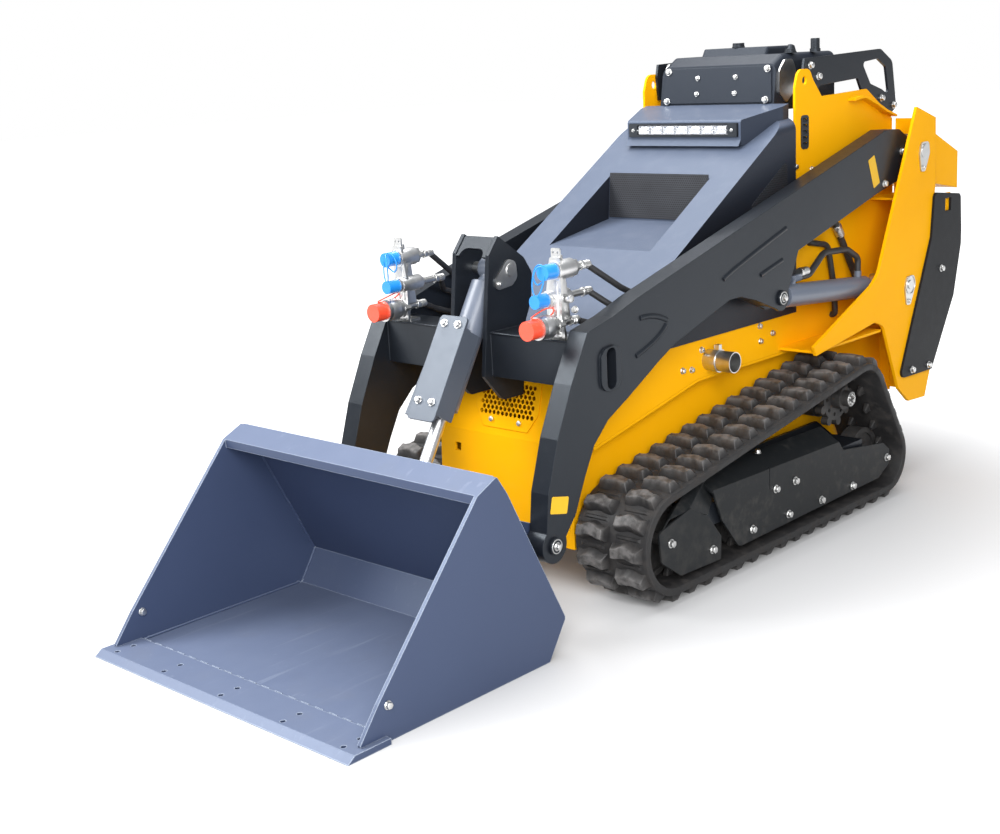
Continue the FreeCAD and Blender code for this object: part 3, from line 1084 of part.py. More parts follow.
foot = block("coupler_foot", ("56", "34", "7"), "248", BANK, TUBE_TOP)
tab = panel("coupler_tab", [("264", "200"), ("292", "200"), ("292", "224"), ("264", "224")],
            "0", BANK, TUBE_TOP, "4", 90, {"4": [2, 3]})
tab_holes = [rod(f"coupler_tab_hole_{side}", "3", "20", side, BANK + " - 10", TUBE_TOP + " + 214", "y")
             for side in ("271", "285")]
twins(cut("coupler_cut", joined("coupler_joined", bracket, foot, tab, *couplings), *tab_holes), "coupler_banks")
twins(grouped("coupler_blue", caps[0], caps[1]), "blue_caps")
twins(caps[2], "red_caps")
twins(grouped("coupler_hose_set", *hoses), "coupler_hoses")

INNER = "wall_half"
CHASE = "wall_half + 15"
supply = hose("tower_supply_hose", "10.5", [
    (INNER, "2112", "892", "0"), (CHASE, "2112", "892", "12"), (CHASE, "2190", "842", "45"),
    (CHASE, "2330", "640", "60"), (CHASE, "2372", "540", "12"), (INNER, "2372", "540", "0"),
])
drain = hose("tower_drain_hose", "9", [
    (INNER, "2066", "796", "0"), (CHASE, "2066", "796", "12"), (CHASE, "2150", "780", "36"),
    (CHASE, "2188", "640", "40"), (CHASE, "2194", "560", "12"), (INNER, "2194", "560", "0"),
])
twins(grouped("tower_hose_set", supply, drain), "tower_hoses")

# ---------------------------------------------------------------- check and export
doc.recompute()
for thing in doc.Objects:
    if "Invalid" in thing.State or "Error" in thing.State:
        raise RuntimeError(f"{thing.Name} did not recompute: {thing.State}")
for thing in nodes:
    if not thing.Shape.isValid():
        raise RuntimeError(f"{thing.Label} is not a valid shape")
    thing.Shape.exportStep(f"parts/{thing.Label}.step")
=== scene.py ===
import bmesh
import bpy
import math
from mathutils import Matrix, Vector


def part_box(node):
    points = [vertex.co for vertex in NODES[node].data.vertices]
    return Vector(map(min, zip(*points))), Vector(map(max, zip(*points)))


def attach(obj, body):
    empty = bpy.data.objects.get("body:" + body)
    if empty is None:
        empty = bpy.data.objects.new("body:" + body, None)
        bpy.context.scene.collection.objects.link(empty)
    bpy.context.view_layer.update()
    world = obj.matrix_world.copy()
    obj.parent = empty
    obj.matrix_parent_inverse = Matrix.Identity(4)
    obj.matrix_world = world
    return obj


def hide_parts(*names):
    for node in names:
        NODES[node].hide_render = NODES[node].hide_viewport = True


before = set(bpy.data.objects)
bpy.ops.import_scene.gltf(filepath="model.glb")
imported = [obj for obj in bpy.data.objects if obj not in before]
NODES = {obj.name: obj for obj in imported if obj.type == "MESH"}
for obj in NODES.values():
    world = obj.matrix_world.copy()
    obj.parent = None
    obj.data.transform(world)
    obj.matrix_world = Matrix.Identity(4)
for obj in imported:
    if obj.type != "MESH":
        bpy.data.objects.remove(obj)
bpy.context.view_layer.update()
LIP_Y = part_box("cutting_edge")[0].y

# Pins and axles, as (station, height) in millimetres
PIVOT = (2520, 1030)
LIFT_BASE = (2440, 625)
LIFT_EYE = (1762, 684)
HINGE = (765, 235)
TILT_TOP = (985, 852)
TILT_EYE = (697, 375)
AXLE = (2060, 338)
# How far a face may turn away from an axis that it looks along, as a cosine
ALONG = 0.9


def spot(side, station, height):
    """A place from millimetres: off the centre plane, behind the bucket's lip, above the ground."""
    return Vector((side / 1000, LIP_Y + station / 1000, height / 1000))


# ---------------------------------------------------------------- camera, floor and light
def set_camera():
    bpy.ops.object.camera_add(location=(2.609, -3.121, 1.382),
                              rotation=[math.radians(a) for a in (76.202, 2.894, 43.030)])
    camera = bpy.context.object
    camera.data.sensor_width = 36
    camera.data.lens = 53.0
    bpy.context.scene.camera = camera


def soft_lamp(name, place, aim, size, watts):
    """A square area lamp at a place, turned to a point."""
    bpy.ops.object.light_add(type="AREA", location=place)
    lamp = bpy.context.object
    lamp.name = name
    lamp.rotation_euler = (Vector(aim) - Vector(place)).to_track_quat("-Z", "Y").to_euler()
    lamp.data.size = size
    lamp.data.energy = watts


# ---------------------------------------------------------------- shader maths
class Value:
    """A socket of a material's node tree that can be added, multiplied and so on."""

    def __init__(self, paint, socket):
        self.paint = paint
        self.socket = socket

    def reckon(self, operation, first, second):
        return self.paint.add("ShaderNodeMath", {"operation": operation}, {0: first, 1: second})

    def __add__(self, other):
        return self.reckon("ADD", self, other)

    def __sub__(self, other):
        return self.reckon("SUBTRACT", self, other)

    def __mul__(self, other):
        return self.reckon("MULTIPLY", self, other)

    def __truediv__(self, other):
        return self.reckon("DIVIDE", self, other)

    def __pow__(self, other):
        return self.reckon("POWER", self, other)

    def __rsub__(self, other):
        return self.reckon("SUBTRACT", other, self)

    __radd__ = __add__


class Paint:
    """A material, its surface shader and the short ways in which its pattern is made."""

    def __init__(self, name, roughness=0.5, metallic=0.0, coat=0.0, specular=0.5, sheen_of=(1, 1, 1)):
        self.material = bpy.data.materials.new(name)
        self.material.use_nodes = True
        self.tree = self.material.node_tree
        self.surface = self.tree.nodes["Principled BSDF"]
        self.surface.inputs["Roughness"].default_value = roughness
        self.surface.inputs["Metallic"].default_value = metallic
        self.surface.inputs["Coat Weight"].default_value = coat
        self.surface.inputs["Coat Roughness"].default_value = 0.25
        self.surface.inputs["Specular IOR Level"].default_value = specular
        self.surface.inputs["Specular Tint"].default_value = (*sheen_of, 1)

    def add(self, kind, settings=None, sockets=None, output=0):
        """Add a node: its settings first, then the values or links of its sockets."""
        node = self.tree.nodes.new(kind)
        for name, setting in (settings or {}).items():
            setattr(node, name, setting)
        for name, value in (sockets or {}).items():
            self.feed(node.inputs[name], value)
        return Value(self, node.outputs[output])

    def feed(self, socket, value):
        """Link a value to a socket, or set the socket to a constant."""
        if isinstance(value, Value):
            self.tree.links.new(value.socket, socket)
        elif isinstance(value, (tuple, list, Vector)) and socket.type == "RGBA" and len(value) == 3:
            socket.default_value = (*value, 1)
        else:
            socket.default_value = value

    def where(self, stretch=(1, 1, 1), shift=(0, 0, 0)):
        """The point on the object, in metres, stretched and shifted."""
        point = self.add("ShaderNodeTexCoord", output="Object")
        return self.add("ShaderNodeMapping", {}, {"Vector": point, "Location": shift, "Scale": stretch})

    def cloud(self, scale, detail, stretch=(1, 1, 1), shift=(0, 0, 0)):
        """Soft noise from 0 to 1 with so many lumps to the metre."""
        return self.add("ShaderNodeTexNoise", {}, {"Vector": self.where(stretch, shift), "Scale": scale,
                                                   "Detail": detail, "Roughness": 0.55})

    def step(self, value, low, high):
        """A soft step from 0 below low to 1 above high."""
        return self.add("ShaderNodeMapRange", {"interpolation_type": "SMOOTHSTEP", "clamp": True},
                        {"Value": value, "From Min": low, "From Max": high})

    def blend(self, share, first, second):
        """A mix of two colours."""
        return self.add("ShaderNodeMix", {"data_type": "RGBA"}, {0: share, 6: first, 7: second}, output=2)

    def bump(self, height, strength, distance, under=None):
        """The surface's direction, roughened by a height, over another direction if that is given."""
        sockets = {"Height": height, "Strength": strength, "Distance": distance}
        if under is not None:
            sockets["Normal"] = under
        return self.add("ShaderNodeBump", {}, sockets)

    def coordinate(self, axis):
        """One coordinate of the point on the object, in metres."""
        return self.add("ShaderNodeSeparateXYZ", {}, {"Vector": self.where()}, output=axis)

    def facing(self, axis):
        """How far the surface faces along an axis, from -1 to 1."""
        normal = self.add("ShaderNodeNewGeometry", output="Normal")
        return self.add("ShaderNodeSeparateXYZ", {}, {"Vector": normal}, output=axis)

    def edges(self, radius):
        """1 on sharp edges, 0 on the flat: the mask of a painted highlight."""
        bevel = self.add("ShaderNodeBevel", {"samples": 6}, {"Radius": radius})
        normal = self.add("ShaderNodeNewGeometry", output="Normal")
        alike = self.add("ShaderNodeVectorMath", {"operation": "DOT_PRODUCT"}, {0: bevel, 1: normal}, output="Value")
        return self.step(1 - alike, 0.02, 0.25)

    def finish(self, **sockets):
        """Feed the surface shader's sockets, by name, and give the material."""
        for name, value in sockets.items():
            self.feed(self.surface.inputs[name.replace("_", " ")], value)
        return self.material


DUST_COLOUR = (0.42, 0.38, 0.33)
ORANGE_PEEL = 0.25
COOL_SHEEN = (0.80, 0.90, 1.0)
PLASTIC_SHEEN = (0.74, 0.86, 1.0)


def leathered(paint):
    """The fine grain of moulded plastic."""
    return paint.bump(paint.cloud(1500.0, 2.0), 0.3, 0.0004)


def sprayed(name, colour, roughness, coat=0.0, dust=0.12, specular=0.5, worn=0.0, sheen_of=(1, 1, 1)):
    """Sprayed paint on plate: faint orange peel, uneven gloss, dust low down and lighter edges."""
    paint = Paint(name, coat=coat, specular=specular, sheen_of=sheen_of)
    drift = paint.cloud(3.0, 4.0)
    fine = paint.cloud(38.0, 4.0)
    darker = tuple(c * 0.86 for c in colour)
    lighter = tuple(min(1.0, c * 1.07 + 0.004) for c in colour)
    tone = paint.blend(drift, darker, lighter)
    low = 1 - paint.step(paint.coordinate("Z"), 0.02, 0.55)
    grime = paint.step(fine * 0.55 + drift * 0.45, 0.46, 0.72) * (low * 0.8 + 0.2) * dust
    tone = paint.blend(grime, tone, DUST_COLOUR)
    scuff = paint.step(paint.cloud(60.0, 6.0, stretch=(1, 0.12, 0.5)), 0.62, 0.78) * worn
    tone = paint.blend(scuff, tone, tuple(min(1.0, c * 1.9 + 0.05) for c in colour))
    gloss = fine * 0.14 + (roughness - 0.07) + grime * 0.6 + scuff * 0.2
    rounded = paint.add("ShaderNodeBevel", {"samples": 4}, {"Radius": 0.0028})
    normal = paint.bump(paint.cloud(420.0, 2.0), ORANGE_PEEL, 0.0006, rounded)
    return paint.finish(Base_Color=tone, Roughness=gloss, Normal=normal)


def bucket_paint():
    """Blue-grey paint on the bucket, dulled and scraped in long streaks where soil slides over it, with painted
    light on the faces that look up and a painted highlight on its sharp edges.
    """
    paint = Paint("bucket_paint", specular=0.4, sheen_of=(0.72, 0.84, 1.0))
    drift = paint.cloud(5.0, 5.0)
    blotch = paint.cloud(17.0, 6.0, stretch=(1, 0.6, 1))
    tone = paint.blend(drift, (0.039, 0.054, 0.106), (0.046, 0.063, 0.120))
    # Painted light: faces that look up get a much lighter blue-grey, standing in for the light that falls on them
    # from above.
    upward = paint.step(paint.facing("Z"), 0.3, 0.9)
    tone = paint.blend(upward * 0.85, tone, paint.blend(blotch, (0.098, 0.122, 0.190), (0.120, 0.146, 0.216)))
    streak = paint.step(paint.cloud(46.0, 7.0, stretch=(1, 0.06, 1)), 0.60, 0.74)
    fleck = paint.step(paint.cloud(110.0, 5.0, stretch=(0.8, 0.5, 1)), 0.66, 0.76)
    rubbed = upward * (streak * 0.16 + fleck * 0.14)
    tone = paint.blend(rubbed, tone, (0.300, 0.335, 0.400))
    soiled = upward * paint.step(paint.cloud(7.0, 6.0, shift=(4, 2, 0)), 0.5, 0.75) * 0.16
    tone = paint.blend(soiled, tone, (0.100, 0.105, 0.125))
    # Painted highlight: sharp edges are lightened to a pale blue-grey, standing in for light caught along them.
    edge = paint.edges(0.0045)
    tone = paint.blend(edge * 0.8, tone, (0.46, 0.52, 0.62))
    gloss = 0.36 + rubbed * 0.3 + soiled * 0.3 + drift * 0.08
    rounded = paint.add("ShaderNodeBevel", {"samples": 4}, {"Radius": 0.003})
    skin = paint.bump(paint.cloud(300.0, 2.0), 0.2, 0.0006, rounded)
    normal = paint.bump(streak + fleck, 0.15, 0.0008, skin)
    return paint.finish(Base_Color=tone, Roughness=gloss, Normal=normal)


def moulded_plastic(name, low, high, roughness):
    """Moulded plastic with a fine leathered grain and the faint bloom of sun and dust."""
    paint = Paint(name, specular=0.45, sheen_of=PLASTIC_SHEEN)
    drift = paint.cloud(4.0, 4.0)
    tone = paint.blend(drift, low, high)
    upward = paint.step(paint.facing("Z"), 0.1, 0.9)
    bloom = paint.step(paint.cloud(22.0, 5.0), 0.45, 0.75) * upward * 0.16
    tone = paint.blend(bloom, tone, (0.36, 0.37, 0.40))
    gloss = roughness + drift * 0.08 + bloom * 0.4
    return paint.finish(Base_Color=tone, Roughness=gloss, Normal=leathered(paint))


def plated_steel(name, colour, roughness):
    """Zinc or nickel plate: cloudy grey, bright where it is rubbed."""
    paint = Paint(name, metallic=1.0)
    drift = paint.cloud(60.0, 4.0)
    tone = paint.blend(drift, tuple(c * 0.72 for c in colour), colour)
    stain = paint.step(paint.cloud(130.0, 5.0), 0.6, 0.8) * 0.4
    tone = paint.blend(stain, tone, (0.36, 0.33, 0.29))
    gloss = roughness + drift * 0.16 + stain * 0.3
    normal = paint.bump(paint.cloud(700.0, 2.0), 0.25, 0.0003)
    return paint.finish(Base_Color=tone, Roughness=gloss, Normal=normal)


def rod_chrome():
    """Hard chrome on the cylinder rods and exhaust: near mirror, with faint turning marks."""
    paint = Paint("rod_chrome", metallic=1.0)
    rings = paint.cloud(240.0, 2.0, stretch=(0.2, 1, 0.2))
    haze = paint.cloud(25.0, 5.0)
    tone = paint.blend(haze, (0.60, 0.61, 0.63), (0.80, 0.81, 0.83))
    return paint.finish(Base_Color=tone, Roughness=0.30 + haze * 0.10 + rings * 0.04,
                        Normal=paint.bump(rings, 0.03, 0.0002))


def cast_iron():
    """Cast wheels under thin paint, oily and dusty."""
    paint = Paint("cast_iron", metallic=0.55)
    drift = paint.cloud(30.0, 6.0)
    tone = paint.blend(drift, (0.030, 0.031, 0.034), (0.110, 0.105, 0.100))
    rust = paint.step(paint.cloud(75.0, 6.0), 0.58, 0.75) * 0.5
    tone = paint.blend(rust, tone, (0.16, 0.085, 0.045))
    return paint.finish(Base_Color=tone, Roughness=0.42 + drift * 0.25 + rust * 0.2,
                        Normal=paint.bump(paint.cloud(260.0, 4.0), 0.35, 0.001))


def track_rubber():
    """Moulded rubber, dusty in its hollows, scuffed pale where the tread attribute says it meets the ground."""
    paint = Paint("track_rubber", specular=0.32)
    drift = paint.cloud(9.0, 5.0)
    worn = paint.add("ShaderNodeAttribute", {"attribute_name": "tread"}, output="Fac")
    dust = paint.step(paint.cloud(30.0, 6.0), 0.42, 0.72)
    patch = paint.step(paint.cloud(46.0, 5.0), 0.32, 0.64)
    tone = paint.blend(drift, (0.013, 0.013, 0.014), (0.026, 0.025, 0.025))
    tone = paint.blend(dust * 0.20, tone, (0.085, 0.072, 0.063))
    tone = paint.blend(worn ** 2.5 * (patch * 0.75 + 0.15), tone, (0.140, 0.134, 0.131))
    return paint.finish(Base_Color=tone, Roughness=0.50 + dust * 0.3 - worn * 0.06,
                        Normal=paint.bump(paint.cloud(300.0, 3.0), 0.25, 0.0006))


def hood_moulding():
    """Grey-blue moulding where it looks up and ahead; its flanks carry a painted shade, near black and deeper lower
    down.
    """
    paint = Paint("hood_moulding", specular=0.26, sheen_of=PLASTIC_SHEEN)
    drift = paint.cloud(4.0, 4.0)
    tone = paint.blend(drift, (0.066, 0.083, 0.124), (0.082, 0.101, 0.146))
    upward = paint.step(paint.facing("Z"), 0.1, 0.9)
    bloom = paint.step(paint.cloud(22.0, 5.0), 0.45, 0.75) * upward * 0.04
    tone = paint.blend(bloom, tone, (0.36, 0.37, 0.40))
    # Painted shade: faces that look sideways are made near black, and darker towards the bottom, standing in for the
    # shade on the flanks.
    sideways = paint.step(paint.facing("X") * paint.facing("X"), 0.60, 0.95)
    high = paint.step(paint.coordinate("Z"), 0.80, 1.16)
    tone = paint.blend(sideways, tone, paint.blend(high, (0.009, 0.010, 0.014), (0.022, 0.026, 0.038)))
    inner = paint.step(paint.coordinate("Z"), 0.66, 0.80) * (1 - sideways)
    gloss = 0.36 + drift * 0.08 + bloom * 0.4 + inner * 0.02
    return paint.finish(Base_Color=tone, Roughness=gloss, Normal=leathered(paint))


def perforated_sheet():
    """Black sheet full of small staggered holes, for screens that look ahead or sideways."""
    paint = Paint("perforated_sheet", specular=0.3)
    along = (paint.coordinate("X") + paint.coordinate("Y")) / 0.0070
    up = paint.coordinate("Z") / 0.0061
    odd = up.reckon("MODULO", up.reckon("FLOOR", up, 0), 2)
    across = up.reckon("FRACT", along + odd * 0.5, 0) - 0.5
    rise = up.reckon("FRACT", up, 0) - 0.5
    solid = paint.step((across * across + rise * rise) ** 0.5, 0.24, 0.34)
    haze = paint.cloud(14.0, 5.0)
    sheet = paint.blend(haze, (0.016, 0.017, 0.021), (0.046, 0.049, 0.058))
    tone = paint.blend(solid, (0.001, 0.001, 0.001), sheet)
    return paint.finish(Base_Color=tone, Roughness=0.42 + haze * 0.16, Normal=paint.bump(solid, 0.5, 0.001))


def reflector():
    """The bright stamped cups behind a lamp's front."""
    paint = Paint("reflector_cups", metallic=1.0)
    drift = paint.cloud(160.0, 3.0)
    tone = paint.blend(drift, (0.72, 0.74, 0.78), (0.93, 0.94, 0.97))
    return paint.finish(Base_Color=tone, Roughness=0.10 + drift * 0.12, Normal=paint.bump(drift, 0.3, 0.001))


def glossy_cap(name, colour):
    """Moulded dust cap, glossy, with slight wear."""
    paint = Paint(name, coat=0.3)
    drift = paint.cloud(55.0, 4.0)
    tone = paint.blend(drift, tuple(c * 0.82 for c in colour), colour)
    scuff = paint.step(paint.cloud(160.0, 5.0), 0.62, 0.75) * 0.3
    tone = paint.blend(scuff, tone, tuple(min(1.0, c * 0.6 + 0.25) for c in colour))
    return paint.finish(Base_Color=tone, Roughness=0.26 + drift * 0.12 + scuff * 0.3,
                        Normal=paint.bump(drift, 0.1, 0.0005))


def lamp_lens():
    """The clear front of the lamp, over bright reflectors."""
    paint = Paint("lamp_lens", coat=0.8)
    drift = paint.cloud(90.0, 3.0)
    tone = paint.blend(drift, (0.62, 0.64, 0.68), (0.86, 0.87, 0.90))
    return paint.finish(Base_Color=tone, Roughness=0.12 + drift * 0.1,
                        Normal=paint.bump(paint.cloud(500.0, 2.0), 0.1, 0.0004))


def hose_rubber():
    """Hydraulic hose: black rubber with a faint cloth wrap print."""
    paint = Paint("hose_rubber_skin", specular=0.45)
    drift = paint.cloud(40.0, 4.0)
    tone = paint.blend(drift, (0.012, 0.012, 0.013), (0.030, 0.030, 0.032))
    weave = paint.cloud(900.0, 1.0)
    return paint.finish(Base_Color=tone, Roughness=0.42 + drift * 0.15, Normal=paint.bump(weave, 0.35, 0.0005))


def sticker():
    """A blank yellow foil plate, slightly faded."""
    paint = Paint("sticker_foil", specular=0.3)
    drift = paint.cloud(70.0, 4.0)
    tone = paint.blend(drift, (0.70, 0.40, 0.010), (0.78, 0.47, 0.016))
    return paint.finish(Base_Color=tone, Roughness=0.3 + drift * 0.1, Normal=paint.bump(drift, 0.05, 0.0005))


FINISHES = {
    "frame_yellow": sprayed("machine_yellow", (1.0, 0.445, 0.001), 0.42, dust=0.02, specular=0.08,
                            sheen_of=(1.0, 0.55, 0.08)),
    "arm_black": sprayed("arm_anthracite", (0.0085, 0.0105, 0.0145), 0.33, dust=0.02, worn=0.06,
                         specular=0.30, sheen_of=COOL_SHEEN),
    "bucket_grey": bucket_paint(),
    "cylinder_grey": sprayed("cylinder_paint", (0.125, 0.146, 0.190), 0.34, coat=0.1, dust=0.12),
    "hood_plastic": hood_moulding(),
    "black_plastic": moulded_plastic("console_moulding", (0.012, 0.013, 0.015), (0.020, 0.021, 0.024), 0.42),
    "zinc_steel": plated_steel("zinc_plate", (0.70, 0.70, 0.69), 0.26),
    "chrome_rod": rod_chrome(),
    "cast_metal": cast_iron(),
    "belt_rubber": track_rubber(),
    "cap_blue": glossy_cap("blue_cap_plastic", (0.012, 0.27, 0.80)),
    "cap_red": glossy_cap("red_cap_plastic", (0.95, 0.085, 0.035)),
    "lamp_clear": lamp_lens(),
    "hose_rubber": hose_rubber(),
}
OWN_FINISHES = {
    "hood_screen": perforated_sheet(),
    "tilt_guard": sprayed("guard_grey", (0.070, 0.082, 0.105), 0.36, dust=0.03, specular=0.42,
                          sheen_of=COOL_SHEEN),
    "track_covers": sprayed("dusty_black", (0.0085, 0.0100, 0.0115), 0.44, dust=0.09, worn=0.05, specular=0.2),
    "idler_covers": sprayed("cover_black", (0.0085, 0.0100, 0.0115), 0.44, dust=0.04, worn=0.05, specular=0.2),
    "hinge_pins": FINISHES["arm_black"],
    "lift_eye_pins": FINISHES["arm_black"],
    "console_box": sprayed("console_navy", (0.0130, 0.0165, 0.0250), 0.38, dust=0.02, specular=0.22,
                           sheen_of=COOL_SHEEN),
    "guard_plates": sprayed("guard_black", (0.0070, 0.0082, 0.0105), 0.46, dust=0.04, worn=0.04, specular=0.14),
}
STICKER = sticker()
CAST_SILVER = plated_steel("cast_silver", (0.80, 0.80, 0.80), 0.30)
REFLECTOR = reflector()


def stage_material():
    """Pale floor that the camera, gloss and glass see as near white, with the object's shadow on it."""
    paint = Paint("pale_floor", roughness=0.9, specular=0.1)
    paint.surface.inputs["Base Color"].default_value = (0.50, 0.50, 0.505, 1)
    paths = [paint.add("ShaderNodeLightPath", output=name)
             for name in ("Is Camera Ray", "Is Glossy Ray", "Is Transmission Ray")]
    seen = paint.add("ShaderNodeMath", {"operation": "MAXIMUM"}, {
        0: paths[0], 1: paint.add("ShaderNodeMath", {"operation": "MAXIMUM"}, {0: paths[1], 1: paths[2]})})
    away = paint.add("ShaderNodeVectorMath", {"operation": "LENGTH"}, {0: paint.where()}, output="Value")
    white = paint.step(away, 0.7, 3.0) * 0.95 + 0.05
    tone = paint.add("ShaderNodeCombineColor", {}, {0: white, 1: white, 2: white})
    glow = paint.add("ShaderNodeEmission", {}, {"Color": tone, "Strength": 1.0})
    both = paint.add("ShaderNodeAddShader", {}, {0: Value(paint, paint.surface.outputs[0]), 1: glow})
    mixed = paint.add("ShaderNodeMixShader", {}, {0: seen, 1: Value(paint, paint.surface.outputs[0]), 2: both})
    output = paint.tree.nodes["Material Output"]
    paint.tree.links.new(mixed.socket, output.inputs["Surface"])
    return paint.material


def set_stage():
    bpy.ops.mesh.primitive_plane_add(size=60, location=(0, 0, -0.0006))
    floor = bpy.context.object
    floor.name = "floor"
    floor.data.materials.append(stage_material())
    world = bpy.data.worlds.new("studio")
    bpy.context.scene.world = world
    world.use_nodes = True
    tree = world.node_tree
    tree.nodes.clear()
    path = tree.nodes.new("ShaderNodeLightPath")
    either = tree.nodes.new("ShaderNodeMath")
    either.operation = "MAXIMUM"
    tree.links.new(path.outputs["Is Camera Ray"], either.inputs[0])
    tree.links.new(path.outputs["Is Transmission Ray"], either.inputs[1])
    sky = tree.nodes.new("ShaderNodeBackground")
    sky.inputs["Color"].default_value = (0.93, 0.96, 1.0, 1)
    sky.inputs["Strength"].default_value = 0.42
    white = tree.nodes.new("ShaderNodeBackground")
    white.inputs["Strength"].default_value = 1.0
    white.inputs["Color"].default_value = (1, 1, 1, 1)
    mix = tree.nodes.new("ShaderNodeMixShader")
    output = tree.nodes.new("ShaderNodeOutputWorld")
    tree.links.new(either.outputs[0], mix.inputs[0])
    tree.links.new(sky.outputs[0], mix.inputs[1])
    tree.links.new(white.outputs[0], mix.inputs[2])
    tree.links.new(mix.outputs[0], output.inputs["Surface"])
    soft_lamp("overhead", (-0.8, 0.2, 4.6), (0, 0, 0.4), 4.0, 310)
    soft_lamp("front_left", (-3.3, -3.2, 4.1), (0, -0.2, 0.5), 2.8, 350)
    soft_lamp("front_right", (3.4, -3.6, 2.6), (0, 0.2, 0.6), 3.0, 330)


bpy.context.scene.view_settings.view_transform = "Standard"
set_camera()
set_stage()

# ---------------------------------------------------------------- CAD nodes get their finishes
for node_name, node in NODES.items():
    for slot in node.material_slots:
        plain = slot.material.name.split(".")[0]
        if node_name in OWN_FINISHES:
            slot.material = OWN_FINISHES[node_name]
        elif plain in FINISHES:
            slot.material = FINISHES[plain]

# ---------------------------------------------------------------- ways of making a piece
def clear_selection():
    if bpy.context.object and bpy.context.object.mode != "OBJECT":
        bpy.ops.object.mode_set(mode="OBJECT")
    bpy.ops.object.select_all(action="DESELECT")


def pick(*pieces):
    """Select just these pieces, the first of them active."""
    clear_selection()
    for piece in pieces:
        piece.select_set(True)
    bpy.context.view_layer.objects.active = pieces[0]
    return pieces[0]


def settle(piece):
    """Put a piece's place into its mesh, so that its object sits at the origin."""
    piece.data.transform(piece.matrix_basis)
    piece.matrix_basis = Matrix.Identity(4)
    return piece


def shape_block(size, centre):
    """A block to start from, with its place in its mesh."""
    clear_selection()
    bpy.ops.mesh.primitive_cube_add(size=1, location=centre, scale=size)
    return settle(bpy.context.object)


def shape_rod(radius, length, sides=24, top=None):
    """A rod or cone to start from, standing on the origin along +Z."""
    clear_selection()
    bpy.ops.mesh.primitive_cone_add(vertices=sides, radius1=radius, radius2=radius if top is None else top,
                                    depth=length, location=(0, 0, length / 2))
    return settle(bpy.context.object)


def in_edit(piece, chosen, kind="FACE"):
    """Go into edit mode with the chosen faces, edges or points selected."""
    pick(piece)
    bpy.ops.object.mode_set(mode="EDIT")
    bpy.ops.mesh.select_mode(type=kind)
    bpy.ops.mesh.select_all(action="DESELECT")
    mesh = bmesh.from_edit_mesh(piece.data)
    parts = {"FACE": mesh.faces, "EDGE": mesh.edges, "VERT": mesh.verts}[kind]
    for part in parts:
        if chosen(part):
            part.select_set(True)
    mesh.select_flush_mode()
    bmesh.update_edit_mesh(piece.data)


def leave_edit():
    bpy.ops.object.mode_set(mode="OBJECT")


def facing(axis):
    """Chooses the faces that look along an axis."""
    return lambda face: face.normal.dot(Vector(axis).normalized()) > ALONG


def round_edges(piece, width, steps=2, angle=30):
    """Bevel the sharp edges."""
    bevel = piece.modifiers.new("edges", "BEVEL")
    bevel.width = width
    bevel.segments = steps
    bevel.limit_method = "ANGLE"
    bevel.angle_limit = math.radians(angle)
    pick(piece)
    bpy.ops.object.modifier_apply(modifier="edges")
    return piece


def join(name, pieces):
    """One object from several."""
    whole = pick(*pieces)
    if len(pieces) > 1:
        bpy.ops.object.join()
    whole.name = name
    whole.data.name = name
    return whole


def copy_to(piece, place):
    """A copy with its own mesh, moved by a matrix that goes into the mesh."""
    twin = piece.copy()
    twin.data = piece.data.copy()
    bpy.context.scene.collection.objects.link(twin)
    twin.data.transform(place)
    return twin


def other_side(piece):
    """The mirrored copy across the centre plane, facing outwards again."""
    twin = copy_to(piece, Matrix.Diagonal((-1, 1, 1, 1)))
    twin.data.flip_normals()
    return twin


def mirrored(pieces):
    """The pieces, and then their mirrored copies."""
    return pieces + [other_side(piece) for piece in pieces]


def dress(piece, body, slot, material=None, smooth=30):
    """Give a piece its finish and the body that it moves with."""
    pick(piece)
    bpy.ops.object.shade_smooth_by_angle(angle=math.radians(smooth))
    piece.data.materials.clear()
    piece.data.materials.append(material or FINISHES[slot])
    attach(piece, body)
    return piece


def towards(direction, at, turn=0.0):
    """A matrix that stands +Z along a direction at a place."""
    lean = Vector(direction).to_track_quat("Z", "Y").to_matrix().to_4x4()
    return Matrix.Translation(at) @ lean @ Matrix.Rotation(turn, 4, "Z")


# ---------------------------------------------------------------- bolts
def bolt_head(size):
    """A flanged hex head of a thread size, standing on the origin."""
    washer = shape_rod(size * 1.15, size * 0.22, 28)
    round_edges(washer, size * 0.06, 1)
    head = shape_rod(size * 0.93, size * 0.85, 6)
    in_edit(head, facing((0, 0, 1)))
    bpy.ops.mesh.inset(thickness=size * 0.12)
    bpy.ops.transform.translate(value=(0, 0, size * 0.09))
    leave_edit()
    round_edges(head, size * 0.035, 1, 20)
    head.data.transform(Matrix.Translation((0, 0, size * 0.14)))
    return join("bolt_head", [washer, head])


def bolt_group(name, body, size, heads, both_sides=True):
    """Copies of one head at (side, station, height, direction)."""
    master = bolt_head(size)
    copies = []
    for number, (side, station, height, direction) in enumerate(heads):
        copies.append(copy_to(master, towards(direction, spot(side, station, height), 0.4 + number * 0.7)))
    bpy.data.objects.remove(master)
    group = join(name, copies)
    if both_sides:
        group = join(name, [group, other_side(group)])
    return dress(group, body, "zinc_steel")


OUT = (1, 0, 0)
AHEAD = (0, -1, 0)
UP = (0, 0, 1)


def up_slope(base, lean, run, off=0.0):
    """Station and height on a face that starts at a base and leans back: up it by run, proud of it by off."""
    angle = math.radians(lean)
    return (base[0] + run * math.cos(angle) - off * math.sin(angle),
            base[1] + run * math.sin(angle) + off * math.cos(angle))


def square_to(lean):
    """The direction in which a face that leans back looks."""
    angle = math.radians(lean)
    return (0, -math.sin(angle), math.cos(angle))


CONSOLE = ((1993, 1207), 81.44)
GUARD = ((757.6, 475.3), 58.88)
NOSE = ((1004, 400), 73.2)


